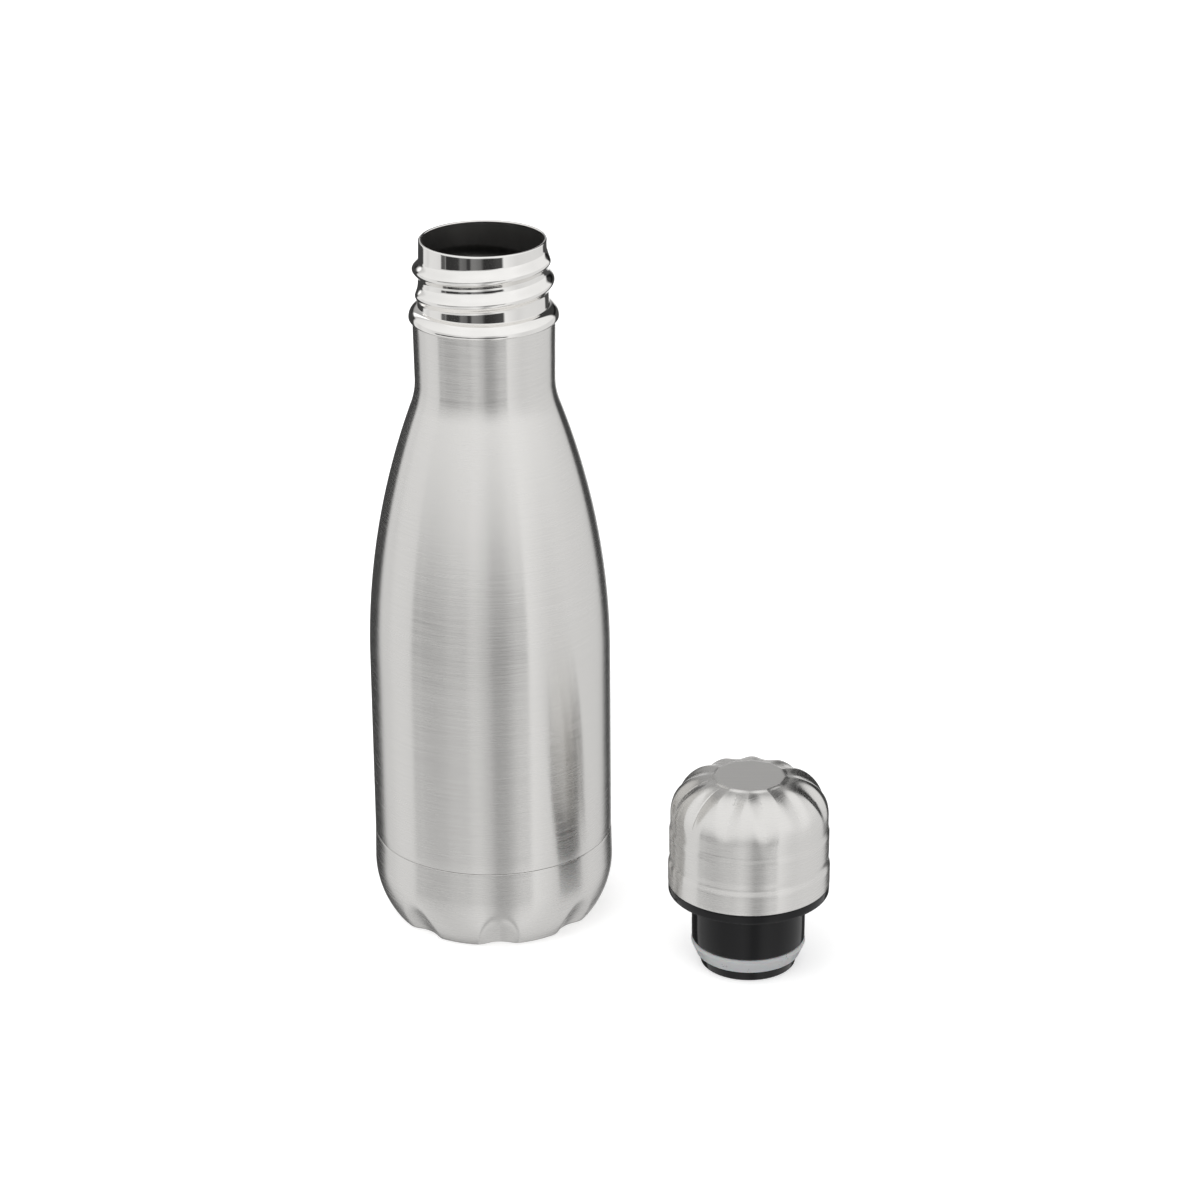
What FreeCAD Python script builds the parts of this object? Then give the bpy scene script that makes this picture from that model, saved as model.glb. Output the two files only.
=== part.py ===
import FreeCAD, Part
import math
import os

import Sketcher

# An insulated steel water bottle with its screw cap standing beside it.
# The origin is on the bottle's axis at the floor, +Z is up and -Y is the front.
# All lengths are millimetres and all angles are degrees.

SIZES = {
    # bottle, outer wall
    "mouth_height": 191.3,
    "body_radius": 32.45,
    "shell_wall": 0.5,
    "shoulder_start": 75.0,
    "shoulder_arc": 206.0,
    "neck_arc": 20.0,
    "neck_radius": 18.45,
    "neck_flare": 0.2,
    # bottle, inner wall
    "vacuum_gap": 2.9,
    "liner_wall": 0.5,
    "liner_floor": 18.2,
    "liner_corner": 5.0,
    "foil_thickness": 0.2,
    "foil_lap": 2.0,
    # mouth tube with its bead and the cone that the seal presses on
    "tube_radius": 16.9,
    "tube_wall": 0.7,
    "bead_depth": 20.8,
    "bead_reach": 2.75,
    "bead_half": 3.1,
    "bead_under": 0.7,
    "bead_thickening": 0.55,
    "seat_cone": 3.2,
    "seal_squeeze": 0.25,
    # base cup with its scalloped corner
    "seam_height": 23.9,
    "seam_gap": 0.1,
    "cup_wall": 0.5,
    "cup_flare": 0.2,
    "cup_corner_height": 15.2,
    "cup_corner_arc": 25.0,
    "cup_foot_round": 1.2,
    "cup_recess_radius": 20.5,
    "cup_recess_depth": 2.0,
    "scallop_count": 8,
    "scallop_phase": 4.0,
    "scallop_foot": 25.8,
    "scallop_slope": 58.0,
    "scallop_round": 10.0,
    # bottom of the vacuum jacket
    "jacket_foot": 13.5,
    "plate_rise": 2.0,
    "dimple_radius": 4.0,
    "dimple_depth": 1.0,
    "vent_radius": 0.6,
    "seal_drop": 0.9,
    "getter_offset": 16.0,
    "getter_radius": 4.0,
    "getter_thickness": 1.1,
    "getter_tray": 0.3,
    # cap, place of its axis on the floor and its steel dome
    "cap_right": 69.1,
    "cap_front": 35.2,
    "cap_radius": 21.25,
    "cap_height": 54.45,
    "cap_wall": 0.5,
    "cap_edge_flare": 0.3,
    "roll_height": 7.0,
    "roll_half": 1.7,
    "roll_depth": 0.2,
    "dome_arc": 11.0,
    "flute_count": 12,
    "flute_phase": 10.5,
    "flute_depth": 1.5,
    "flute_end_depth": 0.3,
    "flute_shift": 0.65,
    "flute_round": 4.8,
    "flute_sweep": 100.0,
    # cap, black mouldings and the silicone ring
    "end_cap_height": 2.9,
    "end_cap_radius": 12.8,
    "end_cap_splay": 0.7,
    "end_cap_floor": 1.8,
    "groove_height": 4.4,
    "collar_radius": 12.0,
    "collar_wall": 1.2,
    "collar_overlap": 1.4,
    "plug_radius": 15.2,
    "plug_wall": 1.6,
    "plug_length": 14.0,
    "flange_height": 2.7,
    "flange_radius": 21.5,
    "edge_round": 0.6,
    "insert_plate": 2.0,
    "thread_clearance": 0.25,
    "thread_reach": 1.5,
    "ring_foot_radius": 14.1,
    "ring_lip_radius": 15.35,
    "ring_lip": 0.9,
    # clearances between pieces
    "weld_gap": 0.02,
    "press_gap": 0.05,
    "glue_gap": 0.1,
    "closing_gap": 0.1,
    "rim_play": 0.35,
}

SHEET = "sizes"


class Size:
    """A number together with the sheet formula that gives it."""

    def __init__(self, value, formula):
        self.value = float(value)
        self.formula = formula

    def __add__(self, other):
        other = as_size(other)
        return Size(self.value + other.value, f"({self.formula} + {other.formula})")

    def __radd__(self, other):
        return as_size(other) + self

    def __sub__(self, other):
        other = as_size(other)
        return Size(self.value - other.value, f"({self.formula} - {other.formula})")

    def __rsub__(self, other):
        return as_size(other) - self

    def __mul__(self, other):
        other = as_size(other)
        return Size(self.value * other.value, f"{self.formula} * {other.formula}")

    def __rmul__(self, other):
        return as_size(other) * self

    def __truediv__(self, other):
        other = as_size(other)
        return Size(self.value / other.value, f"{self.formula} / ({other.formula})")


def as_size(number):
    """Let a plain number stand in a formula."""
    if isinstance(number, Size):
        return number
    return Size(number, repr(float(number)))


def size(name):
    """The named driving dimension."""
    return Size(SIZES[name], f"{SHEET}.{name}")


def root(number):
    return Size(math.sqrt(number.value), f"sqrt({number.formula})")


def sine(angle):
    return Size(math.sin(math.radians(angle.value)), f"sin({angle.formula})")


def cosine(angle):
    return Size(math.cos(math.radians(angle.value)), f"cos({angle.formula})")


def arc_radius(half_chord, rise):
    """Radius of the arc that rises by this much over twice this half chord."""
    return (half_chord * half_chord + rise * rise) / (2 * rise)


def make_sheet(doc):
    """Write every driving dimension into the sheet under its own alias."""
    sheet = doc.addObject("Spreadsheet::Sheet", SHEET)
    for row, (name, number) in enumerate(SIZES.items(), start=1):
        sheet.set(f"A{row}", name)
        sheet.set(f"B{row}", str(number))
        sheet.setAlias(f"B{row}", name)
    doc.recompute()


def origin_plane(body, role):
    """The plane of the body's own origin that has this role."""
    for feature in body.Origin.OriginFeatures:
        if feature.Role == role:
            return feature
    raise ValueError(f"{body.Label} has no {role}")


def edge_between(start, end, bend):
    """A line, or an arc that turns left for a positive bend and right for a negative one.

    The second result tells whether the edge is drawn from its end to its start.
    """
    first = FreeCAD.Vector(start[0].value, start[1].value, 0)
    last = FreeCAD.Vector(end[0].value, end[1].value, 0)
    if bend is None:
        return Part.LineSegment(first, last), False
    turns_right = bend.value < 0
    radius = abs(bend.value)
    along = last.sub(first)
    reach = math.sqrt(max(radius ** 2 - (along.Length / 2) ** 2, 0.0))
    left = FreeCAD.Vector(-along.y, along.x, 0).normalize()
    centre = (first + last) * 0.5 + left * (-reach if turns_right else reach)
    if turns_right:
        first, last = last, first
    begin = math.atan2(first.y - centre.y, first.x - centre.x)
    finish = math.atan2(last.y - centre.y, last.x - centre.x)
    circle = Part.Circle(centre, FreeCAD.Vector(0, 0, 1), radius)
    return Part.ArcOfCircle(circle, begin, finish), turns_right


def pin_distance(sketch, kind, axis, edge, vertex, distance):
    """Hold a corner on an axis, or at a distance from the origin that the sheet gives."""
    if abs(distance.value) < 1e-9:
        sketch.addConstraint(Sketcher.Constraint("PointOnObject", edge, vertex, axis))
        return
    number = sketch.addConstraint(Sketcher.Constraint(kind, -1, 1, edge, vertex, distance.value))
    sketch.setExpression(f"Constraints[{number}]", distance.formula)


def draw_section(body, corners):
    """Sketch a closed half section on the body's XZ plane, counterclockwise.

    Each corner is (radius, height), and a third item is the bend of the arc that leads to it.
    """
    sketch = body.newObject("Sketcher::SketchObject", "section")
    sketch.AttachmentSupport = [(origin_plane(body, "XZ_Plane"), "")]
    sketch.MapMode = "FlatFace"
    points = [(as_size(corner[0]), as_size(corner[1])) for corner in corners]
    bends = [corner[2] if len(corner) > 2 else None for corner in corners]
    count = len(points)
    starts = []
    ends = []
    for index in range(count):
        following = (index + 1) % count
        edge, reversed_edge = edge_between(points[index], points[following], bends[following])
        number = sketch.addGeometry(edge, False)
        starts.append((number, 2 if reversed_edge else 1))
        ends.append((number, 1 if reversed_edge else 2))
    for index in range(count):
        edge, vertex = starts[index]
        before, before_vertex = ends[index - 1]
        sketch.addConstraint(Sketcher.Constraint("Coincident", before, before_vertex, edge, vertex))
        pin_distance(sketch, "DistanceX", -2, edge, vertex, points[index][0])
        pin_distance(sketch, "DistanceY", -1, edge, vertex, points[index][1])
    for index in range(count):
        bend = bends[(index + 1) % count]
        if bend is None:
            continue
        edge = starts[index][0]
        number = sketch.addConstraint(Sketcher.Constraint("Radius", edge, abs(bend.value)))
        sign = "-1 * " if bend.value < 0 else ""
        sketch.setExpression(f"Constraints[{number}]", sign + bend.formula)
    return sketch


def turned_body(doc, label, corners):
    """A body turned about the Z axis from its half section."""
    body = doc.addObject("PartDesign::Body", label)
    body.Label = label
    sketch = draw_section(body, corners)
    turned = body.newObject("PartDesign::Revolution", "turned")
    turned.Profile = sketch
    turned.ReferenceAxis = (sketch, ["V_Axis"])
    turned.Angle = 360
    sketch.Visibility = False
    body.Tip = turned
    doc.recompute()
    return body, sketch


def repeat_cut(doc, body, sketch, cutter, count):
    """Repeat a cut all round the Z axis."""
    pattern = body.newObject("PartDesign::PolarPattern", "all_round")
    pattern.Originals = [cutter]
    pattern.Axis = (sketch, ["V_Axis"])
    pattern.Angle = 360
    pattern.Occurrences = int(count.value)
    pattern.setExpression("Occurrences", count.formula)
    body.Tip = pattern
    doc.recompute()
    return body


def hollow(doc, label, outside, inside):
    """The wall that is left when the inside form is taken out of the outside form."""
    wall = doc.addObject("Part::Cut", label)
    wall.Label = label
    wall.Base = outside
    wall.Tool = inside
    doc.recompute()
    return wall


def bind(feature, values):
    """Set properties to sizes, and tie them to the sheet."""
    for path, number in values.items():
        feature.setExpression(path, as_size(number).formula)


def stand_on_cap_axis(piece):
    """Move a piece that is drawn about the Z axis onto the cap's own axis."""
    bind(piece, {
        "Placement.Base.x": size("cap_right"),
        "Placement.Base.y": -1 * size("cap_front"),
    })


def shoulder(skin):
    """The corners of the outer wall's shoulder, moved inwards by a skin.

    They are the top of the straight wall, the point where the wide arc meets the neck's arc,
    and the foot of the neck, with the bends of the two arcs on the way up.
    """
    wide = size("shoulder_arc") - skin
    tight = size("neck_arc") + skin
    body = size("body_radius") - skin
    neck = size("neck_radius") - skin
    start = size("shoulder_start")
    both = wide + tight
    inset = both - (body - neck)
    rise = root(both * both - inset * inset)
    meet = (body - wide + inset * wide / both, start + rise * wide / both)
    return {
        "wall_top": (body, start),
        "meet": meet,
        "neck_foot": (neck, start + rise),
        "wide": wide,
        "tight": tight,
    }


def bead_centre():
    return size("mouth_height") - size("bead_depth")


def flange_bottom():
    """Height of the cap's flange while the cap stands on its end."""
    return size("end_cap_height") + size("groove_height") + size("plug_length")


def flange_top():
    return flange_bottom() + size("flange_height")


def insert_ceiling():
    """Underside of the insert's plate: the rim stays clear of it when the cap is closed."""
    mouth_above_bead = size("bead_depth") - size("bead_half")
    return flange_bottom() + mouth_above_bead - size("closing_gap") + size("rim_play")


def closed_height(standing_height):
    """Height in the bottle, with the cap screwed on, of a level of the standing cap."""
    bead_top = bead_centre() + size("bead_half")
    return bead_top + size("closing_gap") + standing_height - flange_bottom()


def spigot_radius():
    """Outside of the stepped-in end of the outer shell, which the base cup slides over."""
    return size("body_radius") - size("cup_wall") - size("press_gap")


def neck_weld_height():
    """Top of the outer shell, just under the flat underside of the bead."""
    return bead_centre() - size("bead_under") - size("press_gap")


def build_outer_shell(doc):
    """Brushed outer wall: necked in at the top and stepped in under the base cup."""
    wall = size("shell_wall")
    outer = shoulder(as_size(0))
    inner = shoulder(wall)
    spigot = spigot_radius()
    step = size("seam_height") + size("seam_gap")
    neck_edge = size("neck_radius") + size("neck_flare")
    top = neck_weld_height()
    body, sketch = turned_body(doc, "outer_shell", [
        (spigot, size("jacket_foot")),
        (spigot, step),
        (size("body_radius"), step),
        outer["wall_top"],
        (*outer["meet"], outer["wide"]),
        (*outer["neck_foot"], -1 * outer["tight"]),
        (neck_edge, top),
        (neck_edge - wall, top),
        inner["neck_foot"],
        (*inner["meet"], inner["tight"]),
        (*inner["wall_top"], -1 * inner["wide"]),
        (size("body_radius") - wall, step + wall * 2),
        (spigot - wall, step - wall),
        (spigot - wall, size("jacket_foot")),
    ])
    return body


def liner_skins():
    """How far the liner's outside and inside lie within the bottle's outline."""
    outside = size("shell_wall") + size("vacuum_gap")
    return outside, outside + size("liner_wall")


def liner_weld_height():
    return size("liner_floor") + size("liner_corner")


def build_inner_liner(doc):
    """Mouth tube, rolled bead, seal cone, neck and inner wall, drawn in one piece."""
    outside, inside = liner_skins()
    outer = shoulder(outside)
    inner = shoulder(inside)
    tube = size("tube_radius")
    tube_wall = size("tube_wall")
    bore = tube - tube_wall
    bead = bead_centre()
    half = size("bead_half")
    reach = size("bead_reach")
    under = size("bead_under")
    groove_half = half - tube_wall
    groove_reach = reach - size("bead_thickening")
    throat = closed_height(size("end_cap_height"))
    seal_top = closed_height(size("end_cap_height") + size("groove_height"))
    seal_radius = size("ring_lip_radius") - size("seal_squeeze")
    cone_top = seal_top + size("seat_cone")
    lip = tube_wall / 2
    shoulder_of_lip = size("mouth_height") - lip
    body, sketch = turned_body(doc, "inner_liner", [
        (outer["wall_top"][0], liner_weld_height()),
        outer["wall_top"],
        (*outer["meet"], outer["wide"]),
        (*outer["neck_foot"], -1 * outer["tight"]),
        (outer["neck_foot"][0], throat),
        (seal_radius + size("liner_wall"), seal_top),
        (tube, cone_top),
        (tube, bead - under),
        (tube + reach - under, bead - under),
        (tube + reach, bead, under),
        (tube, bead + half, arc_radius(half, reach)),
        (tube, shoulder_of_lip),
        (tube - lip, size("mouth_height"), lip),
        (bore, shoulder_of_lip, lip),
        (bore, bead + groove_half),
        (bore + groove_reach, bead, -1 * arc_radius(groove_half, groove_reach)),
        (bore, bead),
        (bore, cone_top),
        (seal_radius, seal_top),
        (inner["neck_foot"][0], throat),
        inner["neck_foot"],
        (*inner["meet"], inner["tight"]),
        (*inner["wall_top"], -1 * inner["wide"]),
        (inner["wall_top"][0], liner_weld_height()),
    ])
    return body


def build_liner_bottom(doc):
    """Drawn dish that closes the foot of the liner, welded to it edge to edge."""
    outside, inside = liner_skins()
    outer_radius = size("body_radius") - outside
    inner_radius = size("body_radius") - inside
    corner = size("liner_corner")
    floor = size("liner_floor")
    wall = size("liner_wall")
    flat = outer_radius - corner
    body, sketch = turned_body(doc, "liner_bottom", [
        (0, floor),
        (flat, floor),
        (outer_radius, liner_weld_height(), corner),
        (inner_radius, liner_weld_height()),
        (flat, floor + wall, -1 * (corner - wall)),
        (0, floor + wall),
    ])
    return body


def build_reflective_foil(doc):
    """Foil sleeve round the straight part of the liner, in the vacuum."""
    outside, inside = liner_skins()
    inner_radius = size("body_radius") - outside + size("weld_gap")
    outer_radius = inner_radius + size("foil_thickness")
    low = liner_weld_height() + size("foil_lap")
    high = size("shoulder_start") - size("foil_lap")
    body, sketch = turned_body(doc, "reflective_foil", [
        (inner_radius, low),
        (outer_radius, low),
        (outer_radius, high),
        (inner_radius, high),
    ])
    return body


def plate_top():
    return size("jacket_foot") + size("plate_rise")


def build_jacket_plate(doc):
    """Bottom plate of the vacuum jacket, with a dimple and a vent in its middle."""
    wall = size("shell_wall")
    rim = spigot_radius() - wall - size("weld_gap")
    foot = size("jacket_foot")
    rise = size("plate_rise")
    top = plate_top()
    dimple = size("dimple_radius")
    dimple_top = top + size("dimple_depth")
    vent = size("vent_radius")
    body, sketch = turned_body(doc, "vacuum_base_plate", [
        (vent, dimple_top - wall),
        (dimple - wall, dimple_top - wall),
        (dimple, top - wall),
        (rim - rise, top - wall),
        (rim - wall, foot, -1 * (rise - wall)),
        (rim, foot),
        (rim - rise, top, rise),
        (dimple, top),
        (dimple - wall, dimple_top),
        (vent, dimple_top),
    ])
    return body


def build_vacuum_seal(doc):
    """Drop of solder glass that closes the vent from below, inside the dimple."""
    ceiling = plate_top() + size("dimple_depth") - size("shell_wall") - size("weld_gap")
    drop = size("seal_drop")
    radius = size("dimple_radius") - 2 * size("shell_wall")
    body, sketch = turned_body(doc, "vacuum_seal", [
        (0, ceiling - drop),
        (radius, ceiling, arc_radius(radius, drop)),
        (0, ceiling),
    ])
    return body


def build_getter(doc):
    """Small steel tray on the jacket plate, with the getter pill pressed into it."""
    tray_wall = size("getter_tray")
    pill_radius = size("getter_radius")
    pill_height = size("getter_thickness")
    inner = pill_radius + size("weld_gap")
    outer = inner + tray_wall
    floor = plate_top() + size("weld_gap")
    tray, sketch = turned_body(doc, "getter_tray", [
        (0, floor),
        (outer, floor),
        (outer, floor + tray_wall + pill_height),
        (inner, floor + tray_wall + pill_height),
        (inner, floor + tray_wall),
        (0, floor + tray_wall),
    ])
    pill = doc.addObject("Part::Cylinder", "getter_pill")
    pill.Label = "getter_pill"
    bind(pill, {
        "Radius": pill_radius,
        "Height": pill_height,
        "Placement.Base.z": floor + tray_wall + size("weld_gap"),
    })
    for piece in (tray, pill):
        bind(piece, {"Placement.Base.x": size("getter_offset")})
    doc.recompute()
    return [tray, pill]


def cup_form(doc, label, skin, top):
    """The base cup's outline moved inwards by a skin, as a solid with its scallops cut."""
    side = size("body_radius") - skin
    corner_side = side + size("cup_flare")
    corner_arc = size("cup_corner_arc") - skin
    foot_round = size("cup_foot_round") - skin
    foot_centre = size("cup_foot_round")
    corner_height = size("cup_corner_height")
    between = corner_arc - foot_round
    drop = corner_height - foot_centre
    reach = root(between * between - drop * drop)
    foot = corner_side - corner_arc + reach
    meet_radius = foot + reach * foot_round / between
    meet_height = foot_centre - drop * foot_round / between
    recess = size("cup_recess_depth") + skin
    recess_edge = size("cup_recess_radius") + skin / 2
    body, sketch = turned_body(doc, label, [
        (0, recess),
        (recess_edge - size("cup_recess_depth"), recess),
        (recess_edge, skin),
        (foot, skin),
        (meet_radius, meet_height, foot_round),
        (corner_side, corner_height, corner_arc),
        (side, top),
        (0, top),
    ])
    slope = size("scallop_slope")
    length = size("body_radius")
    cutter = body.newObject("PartDesign::SubtractiveCylinder", "scallop")
    cutter.AttachmentSupport = [(origin_plane(body, "XY_Plane"), "")]
    cutter.MapMode = "FlatFace"
    tilt = 90 - slope
    cutter.AttachmentOffset = FreeCAD.Placement(
        FreeCAD.Vector(0, 0, 0), FreeCAD.Rotation(FreeCAD.Vector(0, 1, 0), tilt.value))
    bind(cutter, {
        "Radius": size("scallop_round") + skin,
        "Height": length,
        "AttachmentOffset.Base.x": size("scallop_foot") + size("scallop_round") * sine(slope)
        - length / 2 * cosine(slope),
        "AttachmentOffset.Base.z": -1 * size("scallop_round") * cosine(slope)
        - length / 2 * sine(slope),
        "AttachmentOffset.Rotation.Angle": tilt,
    })
    doc.recompute()
    return repeat_cut(doc, body, sketch, cutter, size("scallop_count"))


def build_base_cup(doc):
    """Drawn cup over the foot of the shell, with scallops round its corner."""
    wall = size("cup_wall")
    outside = cup_form(doc, "base_cup_outside", as_size(0), size("seam_height"))
    inside = cup_form(doc, "base_cup_inside", wall, size("seam_height") + wall)
    cup = hollow(doc, "base_cup", outside, inside)
    cup.Placement = FreeCAD.Placement(
        FreeCAD.Vector(0, 0, 0), FreeCAD.Rotation(FreeCAD.Vector(0, 0, 1), 0))
    bind(cup, {"Placement.Rotation.Angle": size("scallop_phase") - 90})
    doc.recompute()
    return cup


def cap_form(doc, label, skin, low):
    """The steel dome's outline moved inwards by a skin, as a solid with its flutes cut."""
    side = size("cap_radius") - skin
    edge = side + size("cap_edge_flare")
    roll = flange_top() + size("roll_height")
    half = size("roll_half")
    dome = size("dome_arc") - skin
    top = size("cap_height") - skin
    dome_foot = size("cap_height") - size("dome_arc")
    body, sketch = turned_body(doc, label, [
        (0, low),
        (edge, low),
        (edge, roll - half),
        (side - size("roll_depth"), roll),
        (side, roll + half),
        (side, dome_foot),
        (side - dome, top, dome),
        (0, top),
    ])
    end_arc = size("dome_arc") - size("flute_end_depth")
    half_chord = end_arc * math.sqrt(0.5)
    rise = size("dome_arc") - size("flute_depth") - half_chord
    floor_arc = arc_radius(half_chord, rise)
    inwards = (floor_arc - size("dome_arc") + size("flute_depth")) * math.sqrt(0.5)
    cutter = body.newObject("PartDesign::SubtractiveTorus", "flute")
    cutter.AttachmentSupport = [(origin_plane(body, "XZ_Plane"), "")]
    cutter.MapMode = "FlatFace"
    bind(cutter, {
        "Angle3": size("flute_sweep"),
        "Radius1": floor_arc + size("flute_round"),
        "Radius2": size("flute_round") + skin,
        "AttachmentOffset.Base.x": size("cap_radius") - size("dome_arc") - inwards
        + size("flute_shift"),
        "AttachmentOffset.Base.y": dome_foot - inwards,
    })
    doc.recompute()
    return repeat_cut(doc, body, sketch, cutter, size("flute_count"))


def build_cap_shell(doc):
    """Brushed steel dome of the cap, fluted from its flat top down to its straight side."""
    wall = size("cap_wall")
    outside = cap_form(doc, "cap_shell_outside", as_size(0), flange_top())
    inside = cap_form(doc, "cap_shell_inside", wall, flange_top() - wall)
    shell = hollow(doc, "cap_shell", outside, inside)
    shell.Placement = FreeCAD.Placement(
        FreeCAD.Vector(0, 0, 0), FreeCAD.Rotation(FreeCAD.Vector(0, 0, 1), 0))
    bind(shell, {"Placement.Rotation.Angle": size("flute_phase") - 90})
    stand_on_cap_axis(shell)
    doc.recompute()
    return shell


def build_cap_insert(doc):
    """Black moulding glued into the dome: flange, threaded skirt and plate."""
    bore = size("tube_radius") + size("thread_reach") + size("thread_clearance")
    skirt = size("cap_radius") - size("roll_depth") - size("cap_wall") - size("glue_gap")
    flange = size("flange_radius")
    rounding = size("edge_round")
    low = flange_bottom()
    ceiling = insert_ceiling()
    plate = ceiling + size("insert_plate")
    insert, sketch = turned_body(doc, "cap_insert", [
        (bore, low),
        (flange - rounding, low),
        (flange, low + rounding, rounding),
        (flange, flange_top() - size("weld_gap")),
        (skirt, flange_top() - size("weld_gap")),
        (skirt, plate),
        (0, plate),
        (0, ceiling),
        (bore, ceiling),
    ])
    stand_on_cap_axis(insert)
    return insert


def build_stopper_body(doc):
    """Glossy black plug that hangs from the insert's plate down to the seal groove."""
    low = size("end_cap_height") + size("groove_height")
    radius = size("plug_radius")
    wall = size("plug_wall")
    rounding = size("edge_round")
    bore = size("collar_radius") + size("press_gap")
    top = insert_ceiling() - size("weld_gap")
    stopper, sketch = turned_body(doc, "stopper_body", [
        (bore, low),
        (radius - rounding, low),
        (radius, low + rounding, rounding),
        (radius, top),
        (radius - wall, top),
        (radius - wall, low + wall),
        (bore, low + wall),
    ])
    stand_on_cap_axis(stopper)
    return stopper


def collar_top():
    return size("end_cap_height") + size("groove_height") + size("plug_wall") + size("collar_overlap")


def build_stopper_end_cap(doc):
    """Black end cap: the disc that the cap stands on and the collar inside the ring."""
    radius = size("end_cap_radius")
    rounding = size("edge_round")
    collar = size("collar_radius")
    end_cap, sketch = turned_body(doc, "stopper_end_cap", [
        (0, 0),
        (radius - rounding, 0),
        (radius, rounding, rounding),
        (radius + size("end_cap_splay"), size("end_cap_height")),
        (collar, size("end_cap_height")),
        (collar, collar_top()),
        (collar - size("collar_wall"), collar_top()),
        (collar - size("collar_wall"), size("end_cap_floor")),
        (0, size("end_cap_floor")),
    ])
    stand_on_cap_axis(end_cap)
    return end_cap


def build_foam_core(doc):
    """Foam that fills the stopper between the collar and the insert's plate."""
    low = collar_top() + size("press_gap")
    core = doc.addObject("Part::Cylinder", "stopper_foam_core")
    core.Label = "stopper_foam_core"
    stand_on_cap_axis(core)
    bind(core, {
        "Radius": size("plug_radius") - size("plug_wall") - size("press_gap"),
        "Height": insert_ceiling() - size("press_gap") - low,
        "Placement.Base.z": low,
    })
    doc.recompute()
    return core


def build_seal_ring(doc):
    """Silicone ring that turns in the groove between the end cap and the stopper."""
    inner = size("collar_radius") + size("press_gap")
    low = size("end_cap_height") + size("press_gap")
    high = size("end_cap_height") + size("groove_height") - size("press_gap")
    foot = size("ring_foot_radius")
    rounding = size("edge_round")
    lip = size("ring_lip_radius")
    ring, sketch = turned_body(doc, "seal_ring", [
        (inner, low),
        (foot - rounding, low),
        (foot, low + rounding, rounding),
        (lip, high - size("ring_lip")),
        (lip - size("ring_lip") / 3, high),
        (inner, high),
    ])
    stand_on_cap_axis(ring)
    return ring


def check_document(doc, pieces):
    """Stop if any feature failed or any piece isn't one sound solid."""
    for feature in doc.Objects:
        for state in ("Invalid", "Error"):
            if state in feature.State:
                raise RuntimeError(f"{feature.Label} is {state}")
    for piece in pieces:
        shape = piece.Shape
        if shape.isNull() or not shape.isValid() or len(shape.Solids) != 1:
            raise RuntimeError(f"{piece.Label} is not one valid solid")


def build_bottle():
    doc = FreeCAD.newDocument("insulated_bottle")
    make_sheet(doc)
    pieces = [
        build_outer_shell(doc),
        build_base_cup(doc),
        build_inner_liner(doc),
        build_liner_bottom(doc),
        build_reflective_foil(doc),
        build_jacket_plate(doc),
        build_vacuum_seal(doc),
        *build_getter(doc),
        build_cap_shell(doc),
        build_cap_insert(doc),
        build_stopper_body(doc),
        build_stopper_end_cap(doc),
        build_foam_core(doc),
        build_seal_ring(doc),
    ]
    doc.recompute()
    check_document(doc, pieces)
    os.makedirs("parts", exist_ok=True)
    for piece in pieces:
        piece.Shape.exportStep(os.path.join("parts", f"{piece.Label}.step"))
        box = piece.Shape.BoundBox
        print(f"{piece.Label}: volume {piece.Shape.Volume:.1f}, z {box.ZMin:.2f} to {box.ZMax:.2f}")


build_bottle()
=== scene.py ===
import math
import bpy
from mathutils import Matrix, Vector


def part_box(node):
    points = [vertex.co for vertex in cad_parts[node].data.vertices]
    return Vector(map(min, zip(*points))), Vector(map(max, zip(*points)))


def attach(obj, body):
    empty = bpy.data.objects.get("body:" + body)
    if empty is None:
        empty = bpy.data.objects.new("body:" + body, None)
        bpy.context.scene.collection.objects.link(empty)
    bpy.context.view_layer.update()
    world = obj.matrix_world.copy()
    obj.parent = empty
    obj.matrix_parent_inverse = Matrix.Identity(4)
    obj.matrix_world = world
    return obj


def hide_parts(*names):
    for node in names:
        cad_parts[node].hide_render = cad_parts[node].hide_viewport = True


bl_info = {
    "name": "Insulated Bottle",
    "version": (1, 0, 0),
    "blender": (4, 5, 0),
    "location": "3D View > Sidebar > Bottle",
    "description": "Gives an insulated steel bottle and its fluted cap their finished surfaces",
    "category": "Object",
}

from collections import namedtuple

import bpy
from bpy.props import FloatProperty, FloatVectorProperty, IntProperty, PointerProperty
from bpy.types import Operator, Panel, PropertyGroup
from mathutils import Matrix, Vector

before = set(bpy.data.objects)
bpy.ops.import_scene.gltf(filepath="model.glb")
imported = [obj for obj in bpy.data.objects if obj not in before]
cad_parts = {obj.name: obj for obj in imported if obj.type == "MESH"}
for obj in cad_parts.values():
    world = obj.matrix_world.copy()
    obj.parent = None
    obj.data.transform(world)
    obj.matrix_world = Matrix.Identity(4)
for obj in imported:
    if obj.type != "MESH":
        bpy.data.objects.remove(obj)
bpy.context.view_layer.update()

# Every length is in metres. The bottle stands on the floor with its axis on Z, and -Y is the front.

MM = 0.001
SHELL_LOW, SHELL_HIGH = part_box("outer_shell")
CUP_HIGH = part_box("base_cup")[1]
LINER_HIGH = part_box("inner_liner")[1]
DISH_LOW, DISH_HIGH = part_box("liner_bottom")
DOME_LOW, DOME_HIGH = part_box("cap_shell")
INSERT_LOW, INSERT_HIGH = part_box("cap_insert")
PLUG_LOW, PLUG_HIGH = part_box("stopper_body")
END_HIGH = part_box("stopper_end_cap")[1]
RING_LOW, RING_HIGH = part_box("seal_ring")

BOTTLE_AXIS = (0.0, 0.0)
CAP_AXIS = ((DOME_LOW.x + DOME_HIGH.x) / 2, (DOME_LOW.y + DOME_HIGH.y) / 2)

# Gaps between pieces that touch on the real bottle.
SEAM_GAP = 0.1 * MM
SLIP_GAP = 0.05 * MM
SEAT_GAP = 0.02 * MM

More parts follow.
